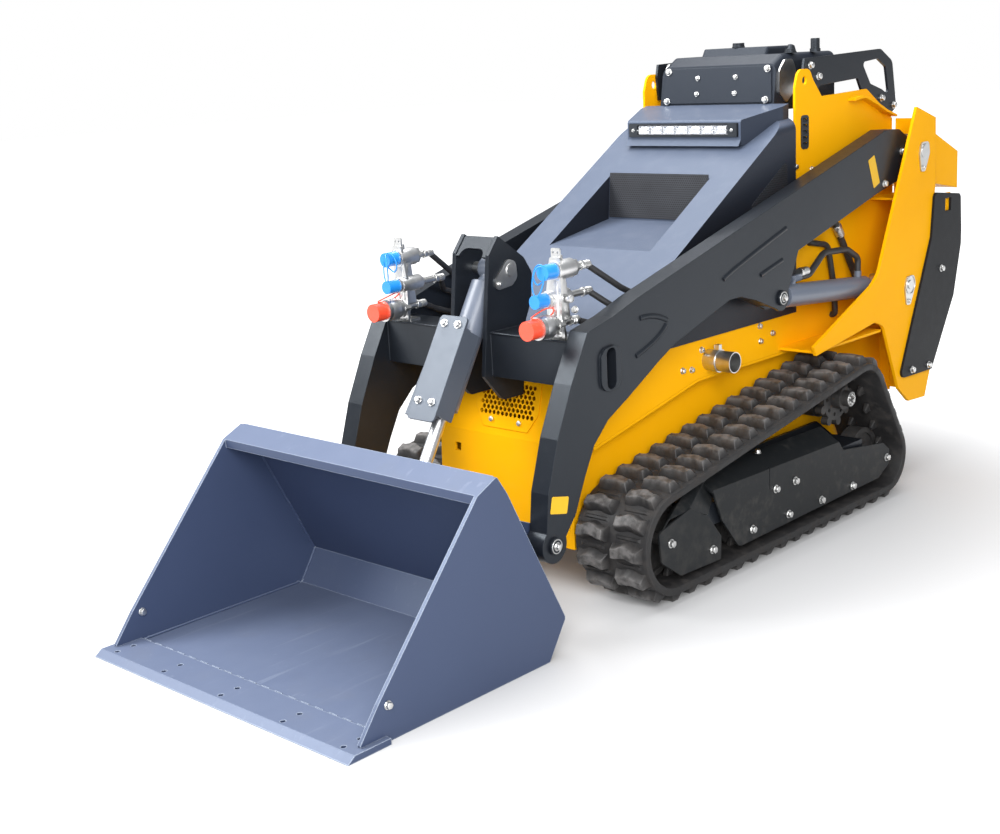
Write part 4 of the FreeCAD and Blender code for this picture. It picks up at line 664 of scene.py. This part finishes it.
def sloped_bolts(name, body, size, face, off, places):
    """Bolts at (side, run up the face), on both sides of the centre plane."""
    base, lean = face
    heads = [(side * hand, *up_slope(base, lean, run, off), square_to(lean))
             for side, run in places for hand in (1, -1)]
    bolt_group(name, body, size, heads, both_sides=False)


sloped_bolts("console_corner_bolts", "chassis", 0.009, CONSOLE, 4, [(177, 99), (177, 10)])
sloped_bolts("console_inner_bolts", "chassis", 0.0065, CONSOLE, 4, [(68, 78), (68, 31)])
sloped_bolts("guard_face_bolts", "tilt_barrel", 0.009, GUARD, 70, [(24, 258), (24, 50)])
sloped_bolts("nose_bolts", "chassis", 0.008, NOSE, 3, [(50, 41)])
wall_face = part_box("wall_vents")[1].x * 1000
bolt_group("wall_bolts", "chassis", 0.008, [
    (wall_face - 3, station, height, OUT) for station, height in (
        (1995, 1025), (2082, 1011), (1426, 528), (1467, 523), (1515, 570), (1805, 544), (1801, 589), (1868, 557))])
grip_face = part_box("handle_plates")[1].x * 1000
bolt_group("handle_bolts", "chassis", 0.010, [
    (grip_face, station, height, OUT) for station, height in (
        (2089, 1309), (2133, 1276), (2504, 1194), (2580, 1168))])
cover_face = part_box("track_covers")[1].x * 1000
bolt_group("cover_bolts", "chassis", 0.0105, [
    (cover_face, station, height, OUT) for station, height in (
        (1591, 184), (1690, 183), (1475, 99), (1656, 94), (1829, 91), (2004, 90), (2206, 130),
        (1109, 161), (1289, 94))])
guard_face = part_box("guard_plates")[1].x * 1000
bolt_group("guard_bolts", "chassis", 0.010, [
    (guard_face, station, height, OUT) for station, height in ((2636, 650), (2453, 352), (2562, 348))])
bolt_group("cheek_bolts", "bucket", 0.009, [(456, 131, 82, OUT), (446, 131, 82, (-1, 0, 0))])

# The cross tubes end at the arms' inner faces
ARM_THICK = 55
arm_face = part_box("cross_tubes")[1].x * 1000 + ARM_THICK
bolt_group("arm_bolts", "arms", 0.010, [
    (arm_face, station, height, OUT) for station, height in ((2435, 1035), (2332, 947))])
bolt_group("cover_top_bolt", "chassis", 0.009, [(430, 1552, 291, UP)])
bolt_group("coupler_bracket_bolts", "arms", 0.010, [(262, 926, 716, AHEAD), (286, 926, 716, AHEAD)])
HUB_FACE = 425
HUB_CIRCLE = 14
bolt_group("hub_bolts", "chassis", 0.0042, [
    (HUB_FACE - 0.2, AXLE[0] + HUB_CIRCLE * math.sin(turn * math.pi / 3),
     AXLE[1] + HUB_CIRCLE * math.cos(turn * math.pi / 3), OUT)
    for turn in range(6)])


# ---------------------------------------------------------------- lamp
def lamp_parts():
    """A row of bright reflector cups between studs, in a black frame; the screws at its ends are added just after.
    """
    low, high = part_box("light_bar")
    width, height, front = high.x - low.x, high.z - low.z, low.y
    middle = (low.z + high.z) / 2
    pitch = width / 7
    cup = shape_block((pitch * 0.88, 0.006, height * 0.84), (0, front - 0.003, middle))
    in_edit(cup, facing(AHEAD))
    bpy.ops.mesh.inset(thickness=0.0014)
    bpy.ops.mesh.inset(thickness=0.0045)
    bpy.ops.transform.translate(value=(0, 0.005, 0))
    bpy.ops.mesh.inset(thickness=0.0026)
    bpy.ops.transform.translate(value=(0, -0.0036, 0))
    leave_edit()
    stud = shape_rod(0.0030, 0.0035, 12, 0.0016)
    stud.data.transform(towards(AHEAD, (0, front - 0.006, middle)))
    cups = [copy_to(cup, Matrix.Translation(((i - 3) * pitch, 0, 0))) for i in range(7)]
    studs = [copy_to(stud, Matrix.Translation(((i - 3) * pitch, 0, 0))) for i in [j + 0.5 for j in range(-1, 7)]]
    for master in (cup, stud):
        bpy.data.objects.remove(master)
    dress(join("lamp_cups", cups), "chassis", "lamp_clear", REFLECTOR, smooth=10)
    dress(join("lamp_studs", studs), "chassis", "zinc_steel")
    frame_piece = shape_block((width + 0.066, 0.010, height + 0.012), (0, front - 0.003, middle))
    in_edit(frame_piece, lambda face: abs(face.normal.y) > ALONG)
    bpy.ops.mesh.inset(thickness=0.0045, use_individual=True)
    leave_edit()
    in_edit(frame_piece, lambda face: abs(face.normal.y) > ALONG and face.calc_area() > 0.5 * width * height)
    bpy.ops.transform.resize(value=((width + 0.003) / (width + 0.057), 1, 1))
    bpy.ops.mesh.bridge_edge_loops()
    leave_edit()
    round_edges(frame_piece, 0.0012, 2)
    dress(frame_piece, "chassis", "black_plastic")


lamp_parts()
lamp_low, lamp_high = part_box("light_bar")
bolt_group("lamp_screws", "chassis", 0.0045, [
    (lamp_high.x * 1000 + 16, (lamp_low.y - LIP_Y) * 1000 - 8, (lamp_low.z + lamp_high.z) * 500, AHEAD)])


# ---------------------------------------------------------------- caps, grips and hose ends
def ridge(places, radius, closed=False, squash=None):
    """A round bar along a line of (side, station, height), flattened towards a side plane if that is given."""
    clear_selection()
    data = bpy.data.curves.new("ridge", "CURVE")
    data.dimensions = "3D"
    data.bevel_depth = radius
    data.bevel_resolution = 2
    data.resolution_u = 6
    data.use_fill_caps = not closed
    spline = data.splines.new("NURBS")
    spline.points.add(len(places) - 1)
    for point, place in zip(spline.points, places):
        point.co = (*spot(*place), 1)
    spline.order_u = 3
    spline.use_cyclic_u = closed
    spline.use_endpoint_u = not closed
    line = bpy.data.objects.new("ridge", data)
    bpy.context.scene.collection.objects.link(line)
    pick(line)
    bpy.ops.object.convert(target="MESH")
    bar = bpy.context.object
    if squash is not None:
        for point in bar.data.vertices:
            point.co.x = squash / 1000 + (point.co.x - squash / 1000) * 0.6
    return bar


def straps(name, slot, loops):
    """The soft loops that keep dust caps with their couplers, on both sides."""
    bars = mirrored([ridge(places, 0.0019, closed=True) for places in loops])
    dress(join(name, bars), "arms", slot, smooth=60)


def ring_stack(radii, thick, step):
    """Rings threaded on one line, as on a ribbed grip or a crimped ferrule."""
    rings = []
    for number, radius in enumerate(radii):
        ring = shape_rod(radius, thick, 20)
        round_edges(ring, thick * 0.3, 2)
        rings.append(copy_to(ring, Matrix.Translation((0, 0, number * step))))
        bpy.data.objects.remove(ring)
    return join("ring_stack", rings)


def grips():
    """A ribbed sleeve on the side lever, a bellows under the leaning lever and rings round the knob."""
    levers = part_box("control_levers")
    top = levers[1].z
    sleeve = ring_stack([0.0139] * 9, 0.0026, 0.0035)
    sleeve.data.transform(Matrix.Translation((0.200, spot(0, 2226, 0).y, top - 0.0335)))
    boot = ring_stack([0.0190, 0.0172, 0.0158, 0.0145], 0.0032, 0.0030)
    boot.data.transform(Matrix.Translation((0.188, spot(0, 2108, 0).y, 1.3463)))
    dial = ring_stack([0.0195, 0.0182, 0.0178], 0.0040, 0.0044)
    dial.data.transform(Matrix.Translation((0, spot(0, 2118, 0).y, 1.3683)))
    dress(join("grip_sleeves", [sleeve, boot, dial]), "chassis", "black_plastic")


def ferrules(name, body, radius, ends):
    """Crimped steel ends on hoses, at (side, station, height, direction), on both sides."""
    nut = shape_rod(radius * 1.55, radius * 1.3, 6)
    round_edges(nut, radius * 0.08, 1, 20)
    crimp = ring_stack([radius * 1.28, radius * 1.34, radius * 1.34, radius * 1.34, radius * 1.28],
                       radius * 0.55, radius * 0.62)
    crimp.data.transform(Matrix.Translation((0, 0, radius * 1.3)))
    master = join("ferrule", [nut, crimp])
    copies = [copy_to(master, towards(direction, spot(side, station, height)))
              for side, station, height, direction in ends]
    bpy.data.objects.remove(master)
    group = join(name, copies)
    dress(join(name, [group, other_side(group)]), body, "zinc_steel")


straps("blue_straps", "cap_blue", [
    [(278, 876, 893), (252, 878, 889), (238, 880, 860), (250, 880, 838), (268, 880, 848), (278, 878, 856)],
    [(280, 876, 889), (264, 864, 886), (254, 858, 852), (256, 860, 818), (270, 862, 814), (284, 870, 850)],
])
straps("red_straps", "cap_red", [
    [(272, 826, 768), (268, 850, 774), (266, 892, 784), (272, 916, 782), (280, 900, 766), (278, 852, 762)],
])
grips()
BACK = (0, 1, 0)
ferrules("coupler_ferrules", "arms", 0.008, [(278, 1010, 872, BACK), (262, 1032, 802, BACK), (272, 968, 740, BACK)])
ferrules("supply_ferrules", "chassis", 0.0105, [(290, 2195, 834, (0, 0.82, -1)), (290, 2366, 560, (0, -0.1, 1))])
ferrules("lift_ferrules", "lift_barrels", 0.0095, [(347.5, 1898, 735, BACK)])


def casting():
    """The cast bodies behind the couplers, bolted to their bracket, with a boss and an elbow each."""
    pieces = []
    for side, station, height, radius, length in (
            (278, 914, 872, 24, 62), (262, 902, 802, 21, 74), (272, 862, 740, 29, 30)):
        barrel = shape_rod(radius / 1000, length / 1000, 32)
        in_edit(barrel, facing(UP))
        bpy.ops.mesh.inset(thickness=0.004)
        bpy.ops.mesh.extrude_region_move(TRANSFORM_OT_translate={"value": (0, 0, 0.010)})
        bpy.ops.transform.resize(value=(0.8, 0.8, 1))
        leave_edit()
        round_edges(barrel, 0.0022, 2)
        barrel.data.transform(towards(BACK, spot(side, station, height)))
        pieces.append(barrel)
    for side, station, height, direction, radius in (
            (278, 934, 895, UP, 10), (270, 934, 842, UP, 15), (268, 930, 776, UP, 13), (296, 940, 802, OUT, 11)):
        boss = shape_rod(radius / 1000, 0.022, 24, radius * 0.88 / 1000)
        round_edges(boss, 0.0015, 2)
        boss.data.transform(towards(direction, spot(side, station, height)) @ Matrix.Translation((0, 0, -0.009)))
        pieces.append(boss)
    web = shape_block((0.034, 0.050, 0.128), spot(272, 934, 812))
    in_edit(web, facing(UP))
    bpy.ops.transform.resize(value=(0.7, 0.6, 1))
    leave_edit()
    round_edges(web, 0.004, 3)
    pieces.append(web)
    body = join("coupler_castings", pieces)
    dress(join("coupler_castings", [body, other_side(body)]), "arms", "zinc_steel", CAST_SILVER)


casting()
bolt_group("tilt_eye_bolts", "bucket", 0.008, [(43, *TILT_EYE, OUT)])
bolt_group("manifold_bolts", "arms", 0.0085, [(300, 959, 745, AHEAD), (300, 962, 772, AHEAD)])

# ---------------------------------------------------------------- pressings and welds on plate
ARM_PRESSINGS = (
    ((1099, 639), (1196, 665), (1226, 698)),
    ((1120, 731), (1182, 734), (1231, 708)),
    ((1480, 776), (1500, 790), (1787, 876)),
    ((1658, 763), (1767, 790)),
)
pressed = [ridge([(arm_face, *place) for place in line], 0.0072, squash=arm_face) for line in ARM_PRESSINGS]
dress(join("arm_pressings", mirrored(pressed)), "arms", "arm_black", smooth=50)


def weld(places, radius=0.0028):
    """A weld laid along a line: a bar with the ripple of its passes."""
    bar = ridge(places, radius)
    for point in bar.data.vertices:
        ripple = 0.0006 * math.sin(point.co.x * 900) * math.cos(point.co.y * 900 + point.co.z * 900)
        point.co += Vector((ripple, -ripple, ripple))
    return bar


def between(first, last, steps=14):
    """Places spread evenly from one place to another."""
    return [tuple(a + (b - a) * i / steps for a, b in zip(first, last)) for i in range(steps + 1)]


arm_welds = [weld(between(first, last)) for first, last in (
    ((319, 904, 592), (319, 904, 701)), ((319, 906, 703), (319, 1014, 703)), ((65, 904, 592), (65, 904, 701)),
    ((65, 906, 703), (65, 1014, 703)), ((60, 903, 703), (319, 903, 703)))]
dress(join("arm_welds", mirrored(arm_welds)), "arms", "arm_black", smooth=60)
CORNER = 445.5
bucket_welds = mirrored([
    weld(between((CORNER, *first), (CORNER, *last), steps), 0.0035) for first, last, steps in (
        ((128, 10), (628, 10), 24), ((640, 14), (692, 92), 8), ((690, 94), (522, 430), 20))])
for dash in range(19):
    middle = (dash - 9) * 47
    bucket_welds.append(weld(between((middle - 13, 124, 14.5), (middle + 13, 124, 14.5), 5), 0.0016))
dress(join("bucket_welds", bucket_welds), "bucket", "bucket_grey", smooth=60)


# ---------------------------------------------------------------- thin plates
def blank_plate(side, station, height, long, wide, lean, thick=0.8):
    """A thin plate with round corners on an outer face, its long edge leaning forwards from upright."""
    plate = shape_block((thick / 1000, wide / 1000, long / 1000), (thick / 2000, 0, 0))
    in_edit(plate, lambda edge: abs(edge.verts[0].co.x - edge.verts[1].co.x) > thick / 2000, "EDGE")
    bpy.ops.mesh.bevel(offset=0.004, segments=3)
    leave_edit()
    round_edges(plate, thick * 0.0003, 1, 60)
    plate.data.transform(Matrix.Translation(spot(side, station, height))
                         @ Matrix.Rotation(math.radians(lean), 4, "X"))
    return plate


foils = [blank_plate(arm_face, 2270, 988, 92, 38, 22), blank_plate(arm_face, 788, 331, 42, 62, -13)]
dress(join("blank_foils", mirrored(foils)), "arms", "frame_yellow", STICKER)
windows = mirrored([blank_plate(400, 2675, 850, 72, 66, 0, 4)])
dress(join("window_plates", windows), "chassis", "frame_yellow")


def folded_sheet(low_row, high_row, thick):
    """A sheet with folds between a lower and an upper row of places."""
    count = len(low_row)
    clear_selection()
    bpy.ops.mesh.primitive_plane_add(size=1)
    sheet = settle(bpy.context.object)
    in_edit(sheet, lambda edge: abs(edge.verts[0].co.x - edge.verts[1].co.x) > 0.5, "EDGE")
    bpy.ops.mesh.subdivide(number_cuts=count - 2)
    leave_edit()
    for point in sheet.data.vertices:
        column = round((point.co.x + 0.5) * (count - 1))
        point.co = spot(*(low_row if point.co.y < 0 else high_row)[column])
    shell = sheet.modifiers.new("thickness", "SOLIDIFY")
    shell.thickness = thick
    shell.offset = 0
    pick(sheet)
    bpy.ops.object.modifier_apply(modifier="thickness")
    return round_edges(sheet, thick * 0.2, 1, 40)


cover_tops = mirrored([folded_sheet(
    [(459, 1065, 190), (459, 1104, 223), (459, 1190, 228), (459, 1272, 192)],
    [(430, 1152, 233), (430, 1200, 255), (430, 1302, 276), (430, 1350, 240)], 0.003)])
dress(join("idler_cover_tops", cover_tops), "chassis", "arm_black", OWN_FINISHES["track_covers"])


# ---------------------------------------------------------------- vents, cylinder neck, pin ends and hubs
def slats():
    """Blades that lean in the wall's vents, over a dark back plate."""
    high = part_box("wall_vents")[1]
    pieces = []
    for middle in (1121, 932):
        back = shape_block((0.003, 0.044, 0.096), spot(262, 2044, middle))
        round_edges(back, 0.0008, 1)
        pieces.append(back)
        for number in range(5):
            blade = shape_block((0.0022, 0.031, 0.019), (0, 0, 0))
            round_edges(blade, 0.0007, 2)
            blade.data.transform(Matrix.Translation(spot(high.x * 1000 - 7, 2044, middle + (number - 2) * 17.4 + 2))
                                 @ Matrix.Rotation(math.radians(-38), 4, "Y"))
            pieces.append(blade)
    side = join("vent_slats", pieces)
    dress(join("vent_slats", [side, other_side(side)]), "chassis", "black_plastic")


slats()
tilt_top = spot(0, *TILT_TOP)
tilt_way = tilt_top - spot(0, *TILT_EYE)
neck = shape_rod(0.0375, 0.062, 40, 0.019)
round_edges(neck, 0.003, 2)
in_edit(neck, facing((0, 0, -1)))
bpy.ops.mesh.inset(thickness=0.008)
bpy.ops.mesh.extrude_region_move(TRANSFORM_OT_translate={"value": (0, 0, 0.046)})
bpy.ops.transform.resize(value=(0.75, 0.75, 1))
leave_edit()
neck.data.transform(towards(tilt_way, tilt_top - tilt_way.normalized() * 0.088))
dress(neck, "tilt_barrel", "cylinder_grey")
neck.name = "tilt_neck"

bolt_group("hinge_pin_bolts", "arms", 0.0095, [(382.3, *HINGE, OUT)])
bolt_group("lift_eye_bolts", "arms", 0.0095, [(382.3, *LIFT_EYE, OUT)])
bolt_group("retainer_bolts", "chassis", 0.0065, [(410, 2511, 980, OUT), (410, 2431, 575, OUT)])
bolt_group("top_retainer_bolts", "arms", 0.0065, [(69, 942, 822, OUT)])


def pin_ring(side, station, height, radius):
    """A snap ring round the end of a pin."""
    clear_selection()
    bpy.ops.mesh.primitive_torus_add(major_segments=36, minor_segments=8, major_radius=radius / 1000,
                                     minor_radius=0.0016)
    ring = settle(bpy.context.object)
    in_edit(ring, lambda point: abs(point.co.y) < 0.003 and point.co.x > 0, "VERT")
    bpy.ops.transform.resize(value=(1.08, 1, 1.25), center_override=(radius / 1000, 0, 0))
    leave_edit()
    ring.data.transform(towards(OUT, spot(side, station, height), 0.9))
    return ring


frame_rings = mirrored([pin_ring(410.8, *PIVOT, 21), pin_ring(410.8, *LIFT_BASE, 28),
                        pin_ring(HUB_FACE, *AXLE, 20)])
dress(join("pin_rings", frame_rings), "chassis", "zinc_steel", smooth=60)
arm_rings = mirrored([pin_ring(69.6, *TILT_TOP, 16), pin_ring(382.4, *HINGE, 17), pin_ring(382.4, *LIFT_EYE, 17)])
dress(join("arm_pin_rings", arm_rings), "arms", "zinc_steel", smooth=60)


def tread_plate():
    """Raised grip bars, leaning left and right by turns, on the face of the platform that is stood on."""
    rows, columns, apart = 9, 11, 62
    foot, head = (2609, 280), (2634, 693)
    run, rise = head[0] - foot[0], head[1] - foot[1]
    lean = math.atan2(run, rise)
    bar = shape_block((0.046, 0.0030, 0.009), (0, 0, 0))
    in_edit(bar, facing(AHEAD))
    bpy.ops.transform.resize(value=(0.7, 1, 0.4))
    leave_edit()
    round_edges(bar, 0.0006, 1, 20)
    copies = []
    for row in range(rows):
        for column in range(columns):
            share = (row + 1) / (rows + 1)
            place = spot((column - columns // 2) * apart, foot[0] + run * share, foot[1] + rise * share)
            turn = math.radians(45 if (row + column) % 2 else -45)
            copies.append(copy_to(bar, Matrix.Translation(place) @ Matrix.Rotation(-lean, 4, "X")
                                  @ Matrix.Rotation(turn, 4, "Y")))
    bpy.data.objects.remove(bar)
    dress(join("tread_bars", copies), "platform", "arm_black")


tread_plate()

# ---------------------------------------------------------------- rubber tracks
BELT = 0.022
BELT_WIDTH = 0.230
BELT_MIDDLE = 0.363
SEAT_GAP = 0.0003
SPROCKET_WRAP = 0.112
LUG = 0.024
PITCHES = 42


def wheel(node):
    """Where a wheel stands, and the radius of the belt's outer face round it."""
    low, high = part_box(node)
    return (low.y + high.y) / 2, (low.z + high.z) / 2, (high.z - low.z) / 2 + BELT + SEAT_GAP


SPROCKET = wheel("hub_motors")[:2] + (SPROCKET_WRAP,)
LOOP = [wheel("front_idlers"), wheel("rear_idlers"), SPROCKET]


def loop_path():
    """A closed flat curve round the wheels, along which the belt is bent."""
    points = []
    for number, (y, z, radius) in enumerate(LOOP):
        angles = []
        for near in (LOOP[number - 1], LOOP[(number + 1) % 3]):
            first, second = ((near, (y, z, radius)) if near is LOOP[number - 1] else ((y, z, radius), near))
            span = math.hypot(second[0] - first[0], second[1] - first[1])
            heading = math.atan2(second[1] - first[1], second[0] - first[0])
            angles.append(heading - math.pi / 2 + math.asin((first[2] - second[2]) / span))
        turn = (angles[1] - angles[0]) % (2 * math.pi)
        steps = max(12, int(turn / math.radians(3)))
        for i in range(steps + 1):
            angle = angles[0] + turn * i / steps
            points.append((y + radius * math.cos(angle), z + radius * math.sin(angle)))
    return points


def closed_length(points):
    """The length of a closed line."""
    return sum(math.dist(a, b) for a, b in zip(points, points[1:] + points[:1]))


def mark_tread(piece, worn):
    """Write which points of a piece the ground wears, for the rubber's pattern."""
    shares = piece.data.attributes.new("tread", "FLOAT", "POINT")
    for share, point in zip(shares.data, piece.data.vertices):
        share.value = float(worn(point.co))


def belt_link(pitch):
    """One pitch of the belt laid flat: travel along X, ground side at +Y, width along Z."""
    carcass = shape_block((pitch, BELT, BELT_WIDTH), (pitch / 2, -BELT / 2, 0))
    in_edit(carcass, lambda edge: abs(edge.verts[0].co.x - edge.verts[1].co.x) > 0.01, "EDGE")
    bpy.ops.mesh.subdivide(number_cuts=7)
    leave_edit()
    in_edit(carcass, lambda edge: abs(edge.verts[0].co.x - edge.verts[1].co.x) > 0.001
            and abs(edge.verts[0].co.z) > 0.1 and abs(edge.verts[1].co.z) > 0.1, "EDGE")
    bpy.ops.mesh.bevel(offset=0.006, segments=2)
    leave_edit()
    in_edit(carcass, lambda face: abs(face.normal.x) > ALONG)
    bpy.ops.mesh.delete(type="FACE")
    leave_edit()
    pieces = [carcass]
    for sign, phase in ((1, 0.23), (-1, 0.73)):
        bar = shape_block((pitch * 0.64, LUG, 0.096), (0, LUG / 2 - 0.001, 0.0))
        in_edit(bar, facing((0, 1, 0)))
        bpy.ops.transform.resize(value=(0.50, 1, 0.84))
        leave_edit()
        in_edit(bar, lambda edge: abs(edge.verts[0].co.z - edge.verts[1].co.z) > 0.01, "EDGE")
        bpy.ops.mesh.subdivide(number_cuts=6)
        leave_edit()
        for point in bar.data.vertices:
            along = point.co.z / 0.047
            point.co.x += 0.0052 * math.cos(along * math.pi * 1.35) * (1 if point.co.x > 0 else 0.6)
        mark_tread(bar, lambda place: place.y > LUG * 0.7)
        round_edges(bar, 0.0016, 1, 25)
        bar.data.transform(Matrix.Translation((pitch * phase, 0, sign * 0.0565)))
        pieces.append(bar)
        bridge = shape_block((pitch * 0.16, 0.004, 0.080), (pitch * (phase + 0.48), 0.0015, sign * 0.056))
        in_edit(bridge, facing((0, 1, 0)))
        bpy.ops.transform.resize(value=(0.5, 1, 0.8))
        leave_edit()
        pieces.append(bridge)
        horn = shape_block((pitch * 0.44, 0.026, 0.018), (pitch * 0.5, -BELT - 0.012, sign * 0.037))
        in_edit(horn, facing((0, -1, 0)))
        bpy.ops.transform.resize(value=(0.42, 1, 0.6))
        leave_edit()
        round_edges(horn, 0.003, 1, 25)
        pieces.append(horn)
    for piece in pieces:
        if "tread" not in piece.data.attributes:
            mark_tread(piece, lambda place: False)
    return join("belt_link", pieces)


def rubber_track():
    """The left track: a row of links bent round the loop."""
    points = loop_path()
    length = closed_length(points)
    pitch = length / PITCHES
    belt = belt_link(pitch)
    row = belt.modifiers.new("row", "ARRAY")
    row.count = PITCHES
    row.use_relative_offset = False
    row.use_constant_offset = True
    row.constant_offset_displace = (pitch, 0, 0)
    row.use_merge_vertices = True
    row.merge_threshold = 0.0002
    data = bpy.data.curves.new("belt_way", "CURVE")
    data.dimensions = "2D"
    spline = data.splines.new("POLY")
    spline.points.add(len(points) - 1)
    for point, (y, z) in zip(spline.points, points):
        point.co = (y, z, 0, 1)
    spline.use_cyclic_u = True
    way = bpy.data.objects.new("belt_way", data)
    bpy.context.scene.collection.objects.link(way)
    bend = belt.modifiers.new("bend", "CURVE")
    bend.object = way
    bend.deform_axis = "POS_X"
    pick(belt)
    bpy.ops.object.modifier_apply(modifier="row")
    bpy.ops.object.modifier_apply(modifier="bend")
    bpy.data.objects.remove(way)
    belt.data.transform(Matrix(((0, 0, 1, BELT_MIDDLE), (1, 0, 0, 0), (0, 1, 0, 0), (0, 0, 0, 1))))
    return belt


left_track = rubber_track()
right_track = other_side(left_track)
for track, name in ((left_track, "rubber_track_left"), (right_track, "rubber_track_right")):
    track.name = name
    dress(track, "chassis", "belt_rubber", smooth=24)
    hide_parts(name.replace("rubber_track", "track_belt"))
